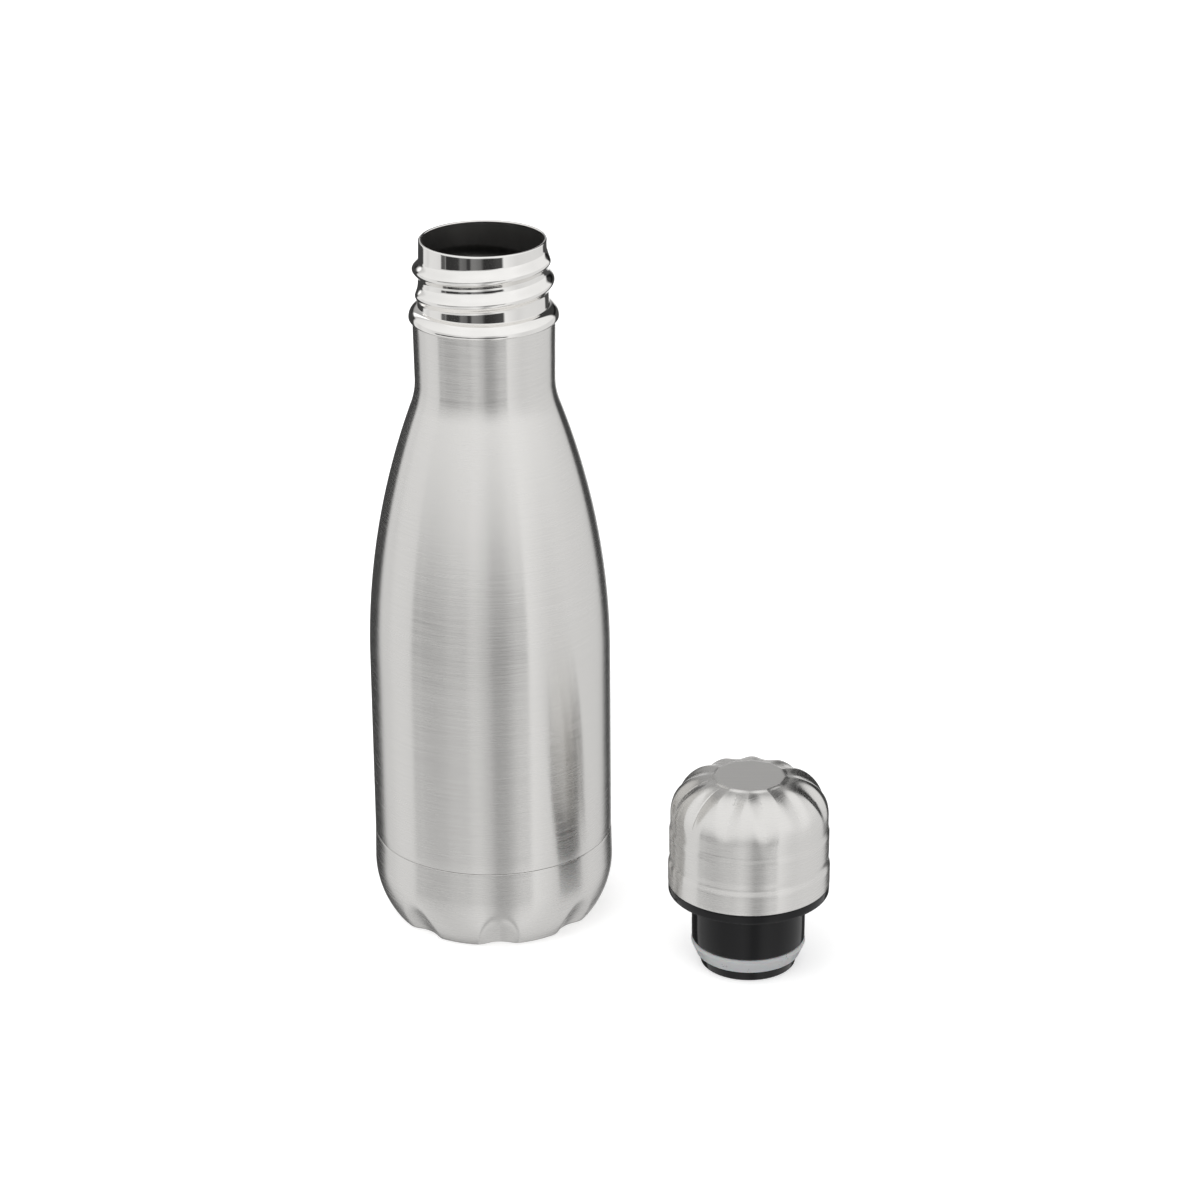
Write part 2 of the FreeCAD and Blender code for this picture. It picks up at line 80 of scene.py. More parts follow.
# Roundings where sheet and mouldings turn a corner.
TUCKED_ROUND = 0.05 * MM
CUT_ROUND = 0.1 * MM
RIM_ROUND = 0.15 * MM
SEAM_ROUND = 0.16 * MM
PLATE_ROUND = 0.2 * MM
FLANGE_ROUND = 0.25 * MM
MOULD_ROUND = 0.3 * MM
LIP_ROUND = 0.35 * MM
FOLD_ROUND = 0.5 * MM
SOFT_ROUND = 0.9 * MM
RECESS_ROUND = 1.0 * MM

# Columns round the turned pieces.
WALL_COLUMNS = 288
MOUTH_COLUMNS = 320
INSERT_COLUMNS = 240
PLAIN_COLUMNS = 192
COLUMNS_A_SCALLOP = 60
COLUMNS_A_FLUTE = 40

# Edges that fold more than this stay sharp, and faces that tilt less than that count as the flat top.
SHARP_FOLD = math.radians(38)
FLAT_TILT = math.radians(5)

# Where the pressed flutes and the rolled thread fade.
DEEPEST_NEIGHBOUR = 4.0 * MM
FLUTE_RISE = 0.5 * MM
FLUTE_START = 2.4 * MM
FLUTE_FULL = 3.9 * MM
THREAD_FADE = 1.0 * MM
INNER_FAINTNESS = 0.7

# The thread keeps this far from the lip and the plate, and starts inside the bead.
THREAD_MARGIN = 0.8 * MM
THREAD_TUCK = 0.4 * MM
INSERT_THREAD_FOOT = 0.6 * MM
INSERT_THREAD_CREST = 12.0 * MM
INSERT_THREAD_WIDTH = 0.55
INSERT_RUN_OUT = 0.4

# Small shapes inside the mouth, on the cap and on the ring.
GROOVE_SHORTER = 0.55 * MM
BORE_TOP = 0.2 * MM
POLISHED_LIP = 0.5 * MM
INSERT_BORE_FOOT = 0.4 * MM
FLAT_TOP_RING = 0.6
RING_CHAMFER_WIDTH = 0.3 * MM
RING_CHAMFER_HEIGHT = 0.9 * MM


def length(name, description, default):
    """A size in metres."""
    return FloatProperty(name=name, description=description, default=default, unit="LENGTH", precision=5)


def angle(name, description, degrees):
    """A turn, written in degrees and kept in radians."""
    return FloatProperty(name=name, description=description, default=math.radians(degrees), unit="ROTATION")


def colour(name, description, default):
    """A linear colour."""
    return FloatVectorProperty(
        name=name, description=description, default=default, subtype="COLOR", size=3, min=0.0, max=1.0)


class BottleSizes(PropertyGroup):
    """Sizes of the bottle itself."""

    body_radius: length("Body radius", "Outside of the straight wall", SHELL_HIGH.x)
    wall: length("Wall", "Thickness of the outer wall and of the cup", 0.5 * MM)
    shell_top: length("Shell top", "Where the outer wall ends under the bead", SHELL_HIGH.z)
    shell_foot: length("Shell foot", "Where the outer wall ends inside the cup", SHELL_LOW.z)
    shoulder_start: length("Shoulder start", "Top of the straight wall", 75.0 * MM)
    shoulder_arc: length("Shoulder arc", "Radius of the wide arc of the shoulder", 206.0 * MM)
    neck_arc: length("Neck arc", "Radius of the arc between shoulder and neck", 20.0 * MM)
    neck_radius: length("Neck radius", "Outside of the neck at its foot", 18.45 * MM)
    neck_flare: length("Neck flare", "How much wider the neck is at its top", 0.2 * MM)
    vacuum_gap: length("Vacuum gap", "Space between the two walls", 2.9 * MM)
    liner_wall: length("Liner wall", "Thickness of the inner wall", 0.5 * MM)
    mouth_height: length("Mouth height", "Height of the rim above the floor", LINER_HIGH.z)
    rim_radius: length("Rim radius", "Outside of the mouth tube under its lip", 16.64 * MM)
    tube_foot_radius: length("Tube foot radius", "Outside of the mouth tube above the bead", 17.15 * MM)
    tube_wall: length("Tube wall", "Thickness of the mouth tube", 0.7 * MM)
    bead_height: length("Bead height", "Middle of the bead above the floor", 170.5 * MM)
    bead_half: length("Bead half width", "Half the height of the bead", 3.1 * MM)
    bead_under: length("Bead under", "Thickness of the bead under its crest", 0.7 * MM)
    bead_reach: length("Bead reach", "How far the bead stands out of the tube", 2.5 * MM)
    throat_height: length("Throat height", "Top of the neck's straight bore", 155.3 * MM)
    seal_height: length("Seal height", "Where the silicone ring presses in the bore", 159.7 * MM)
    cone_height: length("Cone height", "Top of the cone above the seal", 162.9 * MM)
    seal_radius: length("Seal radius", "Bore at the silicone ring", 15.1 * MM)


class CupSizes(PropertyGroup):
    """Sizes of the scalloped cup over the foot of the bottle."""

    seam_height: length("Seam height", "Top edge of the cup", CUP_HIGH.z)
    flare: length("Flare", "How much wider the cup is at its corner", 0.2 * MM)
    corner_height: length("Corner height", "Where the rounded corner starts", 15.2 * MM)
    corner_arc: length("Corner arc", "Radius of the corner", 25.0 * MM)
    foot_round: length("Foot round", "Radius at the edge of the foot", 1.2 * MM)
    recess_radius: length("Recess radius", "Edge of the recess under the foot", 20.5 * MM)
    recess_depth: length("Recess depth", "Height of the recess under the foot", 2.0 * MM)
    scallops: IntProperty(name="Scallops", description="Number of scallops round the corner", default=8)
    phase: angle("Phase", "Turn of the first scallop from the front", 4.0)
    slope: angle("Slope", "Slope of a scallop's floor", 58.0)
    scallop_foot: length("Scallop foot", "Distance from the axis to a scallop's foot", 25.8 * MM)
    scallop_round: length("Scallop round", "Radius across a scallop", 10.0 * MM)
    softness: length("Softness", "Rounding of a scallop's edges", 1.4 * MM)


class ThreadSizes(PropertyGroup):
    """Sizes of the rolled thread on the mouth and of its counterpart in the cap."""

    crest_height: length("Crest height", "Height of the upper crest at the front", 185.0 * MM)
    pitch: length("Pitch", "Climb in one turn", 6.2 * MM)
    reach: length("Reach", "How far the thread stands out of the tube", 1.6 * MM)
    half_width: length("Half width", "Half the height of the ridge", 2.75 * MM)
    start: angle("Start", "Where the thread begins, counted from the right side", -183.0)
    finish: angle("Finish", "Where the thread ends, counted from the right side", 368.0)
    run_out: angle("Run out", "Turn over which the thread fades at each end", 28.0)
    cap_reach: length("Cap reach", "How far the cap's thread stands into its bore", 1.0 * MM)


class CapSizes(PropertyGroup):
    """Sizes of the cap, which stands on the end of its plug."""

    radius: length("Radius", "Outside of the dome's straight side", 21.25 * MM)
    height: length("Height", "Top of the dome above the floor", DOME_HIGH.z)
    wall: length("Wall", "Thickness of the dome", 0.5 * MM)
    edge_flare: length("Edge flare", "How much wider the dome is at its edge", 0.3 * MM)
    edge_height: length("Edge height", "Lower edge of the dome", INSERT_LOW.z + 2.7 * MM)
    roll_height: length("Roll height", "Height of the rolled line over the edge", 7.0 * MM)
    roll_half: length("Roll half", "Half the height of the rolled line", 1.7 * MM)
    roll_depth: length("Roll depth", "Depth of the rolled line", 0.2 * MM)
    dome_arc: length("Dome arc", "Radius of the dome's shoulder", 11.0 * MM)
    flutes: IntProperty(name="Flutes", description="Number of flutes round the dome", default=12)
    flute_phase: angle("Flute phase", "Turn of the first flute from the front", 10.5)
    flute_depth: length("Flute depth", "Depth of a flute in the middle of the shoulder", 1.5 * MM)
    flute_end_depth: length("Flute end depth", "Depth of a flute where the shoulder ends", 0.3 * MM)
    flute_shift: length("Flute shift", "How far the flutes lie outwards of that", 0.65 * MM)
    flute_round: length("Flute round", "Radius across a flute", 4.8 * MM)
    softness: length("Softness", "Rounding of the ridges between the flutes", 1.8 * MM)
    flange_radius: length("Flange radius", "Outside of the black flange", 21.5 * MM)
    skirt_radius: length("Skirt radius", "Outside of the insert inside the dome", 20.45 * MM)
    bore: length("Bore", "Bore of the insert between its threads", 18.65 * MM)
    edge_round: length("Edge round", "Rounding of the black edges", 0.6 * MM)
    insert_plate: length("Insert plate", "Thickness of the plate above the plug", 2.0 * MM)
    plug_radius: length("Plug radius", "Outside of the plug", 15.2 * MM)
    plug_wall: length("Plug wall", "Thickness of the plug", 1.6 * MM)
    end_radius: length("End radius", "Outside of the end cap at the floor", 12.8 * MM)
    end_splay: length("End splay", "How much wider the end cap is at its top", 0.7 * MM)
    end_height: length("End height", "Top of the end cap's rim", 2.9 * MM)
    end_floor: length("End floor", "Thickness of the end cap", 1.8 * MM)
    collar_radius: length("Collar radius", "Outside of the collar inside the ring", 12.0 * MM)
    collar_wall: length("Collar wall", "Thickness of the collar", 1.2 * MM)
    ring_foot: length("Ring foot", "Outside of the silicone ring at its foot", 14.1 * MM)
    ring_lip: length("Ring lip", "Outside of the silicone ring at its lip", 15.35 * MM)


class Finish(PropertyGroup):
    """Colours of the finishes."""

    steel: colour("Steel", "Brushed and polished stainless steel", (0.735, 0.725, 0.708))
    liner: colour("Liner", "Dull steel inside the bottle", (0.330, 0.325, 0.318))
    aluminium: colour("Aluminium", "Reflective foil", (0.780, 0.785, 0.790))
    glass: colour("Solder glass", "Drop that closes the vent", (0.115, 0.150, 0.135))
    getter: colour("Getter", "Dark sintered pill", (0.085, 0.082, 0.080))
    plastic: colour("Plastic", "Glossy black mouldings", (0.0050, 0.0050, 0.0055))
    foam: colour("Foam", "Foam core of the plug", (0.720, 0.700, 0.640))
    silicone: colour("Silicone", "Milky seal ring", (0.660, 0.670, 0.680))
    paper: colour("Paper", "Floor and background", (0.900, 0.900, 0.900))


class Studio(PropertyGroup):
    """Camera, floor and light."""

    lens: FloatProperty(name="Lens", description="Focal length for a 36 mm sensor", default=106.865)
    camera_place: FloatVectorProperty(
        name="Camera", description="Place of the camera", default=(0.03367, -0.88327, 0.45932), unit="LENGTH")
    pitch: FloatProperty(name="Pitch", description="Downward tilt", default=0.396023, unit="ROTATION")
    yaw: FloatProperty(name="Yaw", description="Turn to the right", default=-0.004456, unit="ROTATION")
    roll: FloatProperty(name="Roll", description="Turn about the view", default=-0.006333, unit="ROTATION")
    floor_size: length("Floor size", "Side of the floor", 6.0)
    floor_glow: FloatProperty(name="Floor glow", description="Added to the floor in view", default=0.42)
    lamp_power: FloatProperty(name="Lamp power", description="Power of the soft lamp overhead", default=3.0)


Corner = namedtuple("Corner", "radius height skin rounding")


class Path:
    """One side of a half section, corner by corner. A positive bend turns left, a negative one right."""

    def __init__(self, skin=0.0):
        self.skin = skin
        self.corners = []

    def add(self, radius, height, rounding=0.0):
        """Set down one corner."""
        self.corners.append(Corner(max(radius, 0.0), height, self.skin, rounding))

    def to(self, radius, height, bend=0.0, steps=1, rounding=0.0):
        """Go on to the next corner, along a line or an arc that is divided into steps."""
        if self.corners and bend:
            self.arc(radius, height, bend, steps)
        elif self.corners:
            last = self.corners[-1]
            for step in range(1, steps):
                share = step / steps
                self.add(
                    last.radius + (radius - last.radius) * share,
                    last.height + (height - last.height) * share)
        self.add(radius, height, rounding)
        return self

    def arc(self, radius, height, bend, steps):
        """Set down the corners between the last one and the next, along the shorter arc."""
        first = Vector(self.corners[-1][:2])
        last = Vector((radius, height))
        along = last - first
        left = Vector((-along.y, along.x)).normalized()
        reach = math.sqrt(max(bend * bend - along.length_squared / 4, 0.0))
        centre = (first + last) / 2 + left * math.copysign(reach, bend)
        begin = math.atan2(first.y - centre.y, first.x - centre.x)
        finish = math.atan2(last.y - centre.y, last.x - centre.x)
        sweep = (finish - begin) % math.tau
        if bend < 0:
            sweep -= math.tau
        for step in range(1, steps):
            turn = begin + sweep * step / steps
            self.add(centre.x + abs(bend) * math.cos(turn), centre.y + abs(bend) * math.sin(turn))


def softened(corners, pieces=4):
    """The closed outline with every corner that has a rounding drawn as a small curve."""
    outline = []
    for index, corner in enumerate(corners):
        if not corner.rounding:
            outline.append(corner)
            continue
        here = Vector(corner[:2])
        before = Vector(corners[index - 1][:2]) - here
        after = Vector(corners[(index + 1) % len(corners)][:2]) - here
        first = here + before.normalized() * min(corner.rounding, before.length * 0.45)
        last = here + after.normalized() * min(corner.rounding, after.length * 0.45)
        for piece in range(pieces + 1):
            share = piece / pieces
            point = first.lerp(here, share).lerp(here.lerp(last, share), share)
            outline.append(Corner(point.x, point.y, corner.skin, 0.0))
    return outline


def turned(name, corners, columns, centre=BOTTLE_AXIS):
    """A closed mesh turned about an upright axis from a counterclockwise half section."""
    outline = softened(corners)
    points = []
    skins = []
    rings = []
    for corner in outline:
        count = columns if corner.radius > 1e-7 else 1
        rings.append((len(points), count))
        for column in range(count):
            turn = math.tau * column / columns
            points.append((
                centre[0] + corner.radius * math.cos(turn),
                centre[1] + corner.radius * math.sin(turn),
                corner.height))
            skins.append(corner.skin)
    faces = []
    for index, (start, count) in enumerate(rings):
        following, following_count = rings[(index + 1) % len(rings)]
        if count == 1 and following_count == 1:
            continue
        for column in range(columns):
            beside = (column + 1) % columns
            face = [start + column % count, start + beside % count,
                    following + beside % following_count, following + column % following_count]
            faces.append(tuple(dict.fromkeys(face)))
    mesh = bpy.data.meshes.new(name)
    mesh.from_pydata(points, [], faces)
    mesh.attributes.new("skin", "FLOAT", "POINT").data.foreach_set("value", skins)
    mesh.shade_smooth()
    mesh.set_sharp_from_angle(angle=SHARP_FOLD)
    piece = bpy.data.objects.new(name, mesh)
    bpy.context.scene.collection.objects.link(piece)
    return piece


def closed(outside, inside):
    """Outer path from its start to its end, and the inner path back again."""
    return outside.corners + inside.corners[::-1]


class Value:
    """A socket that can be used in sums. Every operator adds a Math node to its tree."""

    def __init__(self, wires, socket):
        self.wires = wires
        self.socket = socket

    def maths(self, operation, *others):
        return self.wires.maths(operation, self, *others)

    def __add__(self, other):
        return self.maths("ADD", other)

    __radd__ = __add__

    def __sub__(self, other):
        return self.maths("SUBTRACT", other)

    def __rsub__(self, other):
        return self.wires.maths("SUBTRACT", other, self)

    def __mul__(self, other):
        return self.maths("MULTIPLY", other)

    __rmul__ = __mul__

    def __truediv__(self, other):
        return self.maths("DIVIDE", other)

    def __rtruediv__(self, other):
        return self.wires.maths("DIVIDE", other, self)

    def __neg__(self):
        return self.maths("MULTIPLY", -1.0)


class Wires:
    """A node tree that is filled with expressions and a few plain nodes."""

    def __init__(self, tree):
        self.tree = tree
        self.tree.nodes.clear()

    def node(self, kind, settings=None, inputs=None):
        """Add a node, set its settings, then fill its sockets. The values of all its outputs come back."""
        node = self.tree.nodes.new(kind)
        for name, setting in (settings or {}).items():
            if name == "stops":
                self.set_stops(node.color_ramp, setting)
            else:
                setattr(node, name, setting)
        for key, value in (inputs or {}).items():
            if isinstance(value, Value):
                self.tree.links.new(value.socket, node.inputs[key])
            else:
                node.inputs[key].default_value = value
        return [Value(self, output) for output in node.outputs]

    @staticmethod
    def set_stops(ramp, stops):
        while len(ramp.elements) < len(stops):
            ramp.elements.new(1.0)
        for element, (place, shade) in zip(ramp.elements, stops):
            element.position = place
            element.color = (shade, shade, shade, 1.0)

    def maths(self, operation, *values):
        return self.node("ShaderNodeMath", {"operation": operation}, dict(enumerate(values)))[0]

    def split(self, vector):
        return self.node("ShaderNodeSeparateXYZ", inputs={0: vector})

    def join(self, x, y, z):
        return self.node("ShaderNodeCombineXYZ", inputs={0: x, 1: y, 2: z})[0]

    def root(self, value):
        return self.maths("SQRT", self.maths("MAXIMUM", value, 0.0))

    def step(self, value, low, high):
        """0 below low, 1 above high, and a smooth rise between them."""
        return self.node(
            "ShaderNodeMapRange", {"interpolation_type": "SMOOTHSTEP"},
            {0: value, 1: low, 2: high, 3: 0.0, 4: 1.0})[0]


class ShapeTree(Wires):
    """A geometry tree with named sizes that moves the points of a mesh by a rule."""

    def __init__(self, name, sizes):
        super().__init__(bpy.data.node_groups.new(name, "GeometryNodeTree"))
        self.tree.is_modifier = True
        face = self.tree.interface
        face.new_socket("Geometry", in_out="INPUT", socket_type="NodeSocketGeometry")
        for label in sizes:
            face.new_socket(label, in_out="INPUT", socket_type="NodeSocketFloat")
        face.new_socket("Material", in_out="INPUT", socket_type="NodeSocketMaterial")
        face.new_socket("Geometry", in_out="OUTPUT", socket_type="NodeSocketGeometry")
        start = self.node("NodeGroupInput")
        self.geometry = start[0]
        self.sizes = dict(zip(sizes, start[1:]))
        self.material = start[len(sizes) + 1]
        place = self.node("GeometryNodeInputPosition")[0]
        self.x, self.y, self.z = self.split(place)
        self.skin = self.node("GeometryNodeInputNamedAttribute", {"data_type": "FLOAT"}, {"Name": "skin"})[0]

    def nearest(self, turn, count, phase):
        """Turn of the nearest of the copies that stand evenly round the axis."""
        share = math.tau / count
        return self.maths("ROUND", (turn - phase) / share) * share + phase

    def smaller(self, first, second, softness):
        """The smaller of two values, rounded where they meet."""
        return self.maths("SMOOTH_MIN", first, second, softness)

    def finish(self, offset, flat_material=None):
        """Move the points, then realize, give the material and end the tree."""
        moved = self.node("GeometryNodeSetPosition", inputs={"Geometry": self.geometry, "Offset": offset})[0]
        real = self.node("GeometryNodeRealizeInstances", inputs={0: moved})[0]
        dressed = self.node(
            "GeometryNodeSetMaterial", inputs={"Geometry": real, "Material": self.material})[0]
        if flat_material:
            upright = self.split(self.node("GeometryNodeInputNormal")[0])[2]
            level = self.node(
                "FunctionNodeCompare", {"data_type": "FLOAT", "operation": "GREATER_THAN"},
                {0: upright, 1: math.cos(FLAT_TILT)})[0]
            dressed = self.node(
                "GeometryNodeSetMaterial",
                inputs={"Geometry": dressed, "Selection": level, "Material": flat_material})[0]
        self.node("NodeGroupOutput", inputs={0: dressed})
        return self.tree


def shaped(piece, tree, values):
    """Run a geometry tree on a piece and keep its result as the piece's plain mesh."""
    modifier = piece.modifiers.new("shape", "NODES")
    modifier.node_group = tree
    for item in tree.interface.items_tree:
        if item.in_out == "INPUT" and item.name in values:
            modifier[item.identifier] = values[item.name]
    bpy.context.view_layer.update()
    evaluated = piece.evaluated_get(bpy.context.evaluated_depsgraph_get())
    mesh = bpy.data.meshes.new_from_object(evaluated)
    piece.modifiers.clear()
    piece.data = mesh
    return piece


def scallop_tree():
    """Presses inclined round troughs into the corner of the cup."""
    tree = ShapeTree("scallops", ["Count", "Phase", "Slope", "Foot", "Round", "Softness"])
    size = tree.sizes
    turn = tree.maths("ARCTAN2", tree.y, tree.x)
    middle = tree.nearest(turn, size["Count"], size["Phase"])
    along = tree.maths("COSINE", middle)
    aside = tree.maths("SINE", middle)
    out = tree.x * along + tree.y * aside
    across = tree.y * along - tree.x * aside
    sine = tree.maths("SINE", size["Slope"])
    cosine = tree.maths("COSINE", size["Slope"])
    depth = (out - size["Foot"]) * sine - tree.z * cosine - size["Round"]
    reach = size["Round"] + tree.skin
    floor = -tree.root(reach * reach - across * across)
    move = tree.smaller(depth, floor, size["Softness"]) - depth
    outwards = move * sine
    return tree.finish(tree.join(outwards * along, outwards * aside, -(move * cosine)))


def thread_tree():
    """Raises a helical ridge on the upper part of a tube. A negative reach turns it inwards."""
    tree = ShapeTree("rolled_thread", [
        "Axis X", "Axis Y", "Low", "High", "Limit", "Crest", "Pitch", "Reach", "Half Width",
        "Start", "Finish", "Run Out"])
    size = tree.sizes
    x = tree.x - size["Axis X"]
    y = tree.y - size["Axis Y"]
    turn = tree.maths("ARCTAN2", y, x)
    front = -math.pi / 2
    height = None
    for lap in range(-1, 3):
        unrolled = turn + lap * math.tau
        crest = size["Crest"] + size["Pitch"] * (unrolled - front - math.tau) / math.tau
        away = tree.maths("MINIMUM", tree.maths("ABSOLUTE", tree.z - crest) / size["Half Width"], 1.0)
        ridge = (tree.maths("COSINE", away * math.pi) + 1.0) * 0.5
        fade_in = tree.step(unrolled, size["Start"], size["Start"] + size["Run Out"])
        fade_out = tree.step(unrolled, size["Finish"] - size["Run Out"], size["Finish"])
        part = ridge * fade_in * (1.0 - fade_out)
        height = part if height is None else height + part
    inside = tree.step(tree.z, size["Low"], size["Low"] + THREAD_FADE)
    inside = inside * (1.0 - tree.step(tree.z, size["High"] - THREAD_FADE, size["High"]))
    radius = tree.root(x * x + y * y)
    inside = inside * tree.maths("LESS_THAN", radius, size["Limit"])
    fainter = INNER_FAINTNESS * tree.maths("GREATER_THAN", tree.skin, 0.0)
    push = height * size["Reach"] * inside * (1.0 - fainter)
    return tree.finish(tree.join(push * x / radius, push * y / radius, 0.0))


def flute_tree(flat_material):
    """Presses concave flutes into the shoulder of the dome, from its flat top to its straight side."""
    tree = ShapeTree("flutes", [
        "Axis X", "Axis Y", "Count", "Phase", "Centre Radius", "Centre Height", "Ring", "Round", "Softness"])
    size = tree.sizes
    x = tree.x - size["Axis X"]
    y = tree.y - size["Axis Y"]
    turn = tree.maths("ARCTAN2", y, x)
    middle = tree.nearest(turn, size["Count"], size["Phase"])
    side = tree.maths("SIGN", turn - middle)
    beside = middle + side * (math.tau / size["Count"])
    reach = size["Round"] + tree.skin

    def trough(centre):
        """Distance from the trough's centre, its floor there, and the direction in plan."""
        along = tree.maths("COSINE", centre)
        aside = tree.maths("SINE", centre)
        out = x * along + y * aside - size["Centre Radius"]
        up = tree.z - size["Centre Height"]
        across = y * along - x * aside
        away = tree.root(out * out + up * up)
        floor = size["Ring"] - tree.root(reach * reach - across * across)
        return away, floor, along, aside, out, up

    away, floor, along, aside, out, up = trough(middle)
    next_away, next_floor = trough(beside)[:2]
    next_move = tree.maths("MINIMUM", next_floor - next_away, 0.0)
    move = tree.maths("MINIMUM", floor - away, size["Softness"] * 4.0)
    both = tree.smaller(move, tree.maths("MAXIMUM", next_move, -DEEPEST_NEIGHBOUR), size["Softness"])
    both = tree.smaller(both, 0.0, size["Softness"])
    both = both * tree.step(up, 0.0, FLUTE_RISE) * tree.step(out, FLUTE_START, FLUTE_FULL)
    scale = both / away
    return tree.finish(tree.join(scale * out * along, scale * out * aside, scale * up), flat_material)


def surface(name, **constants):
    """A new material with its shader, and the wires to feed it."""
    material = bpy.data.materials.new(name)
    material.use_nodes = True
    wires = Wires(material.node_tree)
    shader = material.node_tree.nodes.new("ShaderNodeBsdfPrincipled")
    for label, value in constants.items():
        shader.inputs[label.replace("_", " ").title().replace("Ior", "IOR")].default_value = value
    output = material.node_tree.nodes.new("ShaderNodeOutputMaterial")
    material.node_tree.links.new(shader.outputs[0], output.inputs[0])
    return material, wires, shader


def feed(wires, shader, **values):
    """Link values that change over the surface to the shader."""
    for label, value in values.items():
        wires.tree.links.new(value.socket, shader.inputs[label.replace("_", " ").title()])


def place_on(wires, centre=BOTTLE_AXIS):
    """Object coordinates, counted from an upright axis."""
    place = wires.node("ShaderNodeTexCoord")[3]
    return wires.node(
        "ShaderNodeMapping", inputs={"Vector": place, "Location": (-centre[0], -centre[1], 0.0)})[0]


def noise(wires, place, stretch, detail=2.0):
    """Noise between 0 and 1 whose features per metre are given along each axis."""
    scaled = wires.node("ShaderNodeVectorMath", {"operation": "MULTIPLY"}, {0: place, 1: stretch})[0]
    return wires.node("ShaderNodeTexNoise", inputs={"Vector": scaled, "Scale": 1.0, "Detail": detail})[0]


def shades(wires, factor, tint, low, high):
    """The tint from low to high times its brightness."""
    dark = [channel * low for channel in tint] + [1.0]
    light = [min(channel * high, 1.0) for channel in tint] + [1.0]
    mix = wires.node(
        "ShaderNodeMix", {"data_type": "RGBA", "clamp_factor": True}, {"Factor": factor, 6: dark, 7: light})
    return mix[2]


def bump(wires, height, distance, strength=1.0):
    """Normal that follows a height pattern of this depth."""
    return wires.node(
        "ShaderNodeBump", inputs={"Height": height, "Distance": distance, "Strength": strength})[0]


def brushed_steel(name, tint, centre, grain=(60.0, 60.0, 5200.0), anisotropic=0.97, rough=0.24):
    """Steel with fine scratches along the grain's slow directions."""
    turn = 0.25 if anisotropic else 0.0
    material, wires, shader = surface(
        name, metallic=1.0, anisotropic=anisotropic, anisotropic_rotation=turn)
    place = place_on(wires, centre)
    scratches = noise(wires, place, grain, 3.0)
    fine = noise(wires, place, [stretch * 2.7 for stretch in grain], 1.0)
    cloud = noise(wires, place, (38.0, 38.0, 22.0), 2.0)
    lines = scratches * 0.65 + fine * 0.35
    sharp = wires.step(lines, 0.34, 0.66)
    feed(
        wires, shader,
        base_color=shades(wires, sharp * 0.7 + cloud * 0.3, tint, 0.96, 1.03),
        roughness=sharp * 0.07 + cloud * 0.05 + (rough - 0.06),
        normal=bump(wires, lines, 0.010 * MM, 0.13))
    return material


def polished_steel(name, tint, centre):
    """Bright tube steel with the faint lines that the rolls leave."""
    material, wires, shader = surface(name, metallic=1.0)
    place = place_on(wires, centre)
    lines = noise(wires, place, (30.0, 30.0, 2600.0), 2.0)
    smears = noise(wires, place, (160.0, 160.0, 120.0), 3.0)
    feed(
        wires, shader,
        base_color=shades(wires, smears, tint, 1.08, 1.22),
        roughness=wires.step(smears, 0.35, 0.75) * 0.05 + 0.045,
        normal=bump(wires, lines * 0.4 + smears * 0.6, 0.02 * MM, 0.25))
    return material


def dull_steel(name, tint):
    """Steel as it leaves the drawing press: soft circular lines and pickling clouds."""
    material, wires, shader = surface(name, metallic=1.0)
    place = place_on(wires)
    lines = noise(wires, place, (25.0, 25.0, 1500.0), 3.0)
    cloud = noise(wires, place, (90.0, 90.0, 90.0), 4.0)
    feed(
        wires, shader,
        base_color=shades(wires, cloud, tint, 0.88, 1.10),
        roughness=cloud * 0.16 + 0.26,
        normal=bump(wires, lines + cloud * 0.3, 0.02 * MM, 0.5))
    return material


def black_plastic(name, tint, centre):
    """Glossy moulding with a breath of waviness and dust."""
    material, wires, shader = surface(name, specular_ior_level=0.25)
    place = place_on(wires, centre)
    flow = noise(wires, place, (120.0, 120.0, 60.0), 2.0)
    dust = noise(wires, place, (4200.0, 4200.0, 4200.0), 1.0)
    specks = wires.step(dust, 0.70, 0.76)
    feed(
        wires, shader,
        base_color=shades(wires, specks * 0.5 + flow * 0.2, tint, 0.9, 2.2),
        roughness=flow * 0.06 + specks * 0.1 + 0.06,
        normal=bump(wires, flow, 0.05 * MM, 0.3))
    return material


def milky_silicone(name, tint, centre):
    """Soft translucent ring."""
    material, wires, shader = surface(
        name, transmission_weight=0.35, subsurface_weight=0.25, subsurface_scale=1.5 * MM,
        specular_ior_level=0.45, ior=1.41)
    place = place_on(wires, centre)
    cloud = noise(wires, place, (300.0, 300.0, 300.0), 3.0)
    bloom = noise(wires, place, (2500.0, 2500.0, 2500.0), 2.0)
    feed(
        wires, shader,
        base_color=shades(wires, cloud, tint, 0.90, 1.06),
        roughness=cloud * 0.12 + bloom * 0.08 + 0.20,
        normal=bump(wires, bloom, 0.01 * MM, 0.3))
    return material


def crinkled_foil(name, tint):
    """Thin foil that was folded round the liner by hand."""
    material, wires, shader = surface(name, metallic=1.0)
    place = place_on(wires)
    folds = wires.node("ShaderNodeTexVoronoi", {"feature": "F1"}, {"Vector": place, "Scale": 260.0})[0]
    creases = noise(wires, place, (500.0, 500.0, 500.0), 3.0)
    feed(
        wires, shader,
        base_color=shades(wires, creases, tint, 0.92, 1.08),
        roughness=creases * 0.14 + 0.12,
        normal=bump(wires, folds + creases * 0.4, 0.15 * MM, 0.7))
    return material


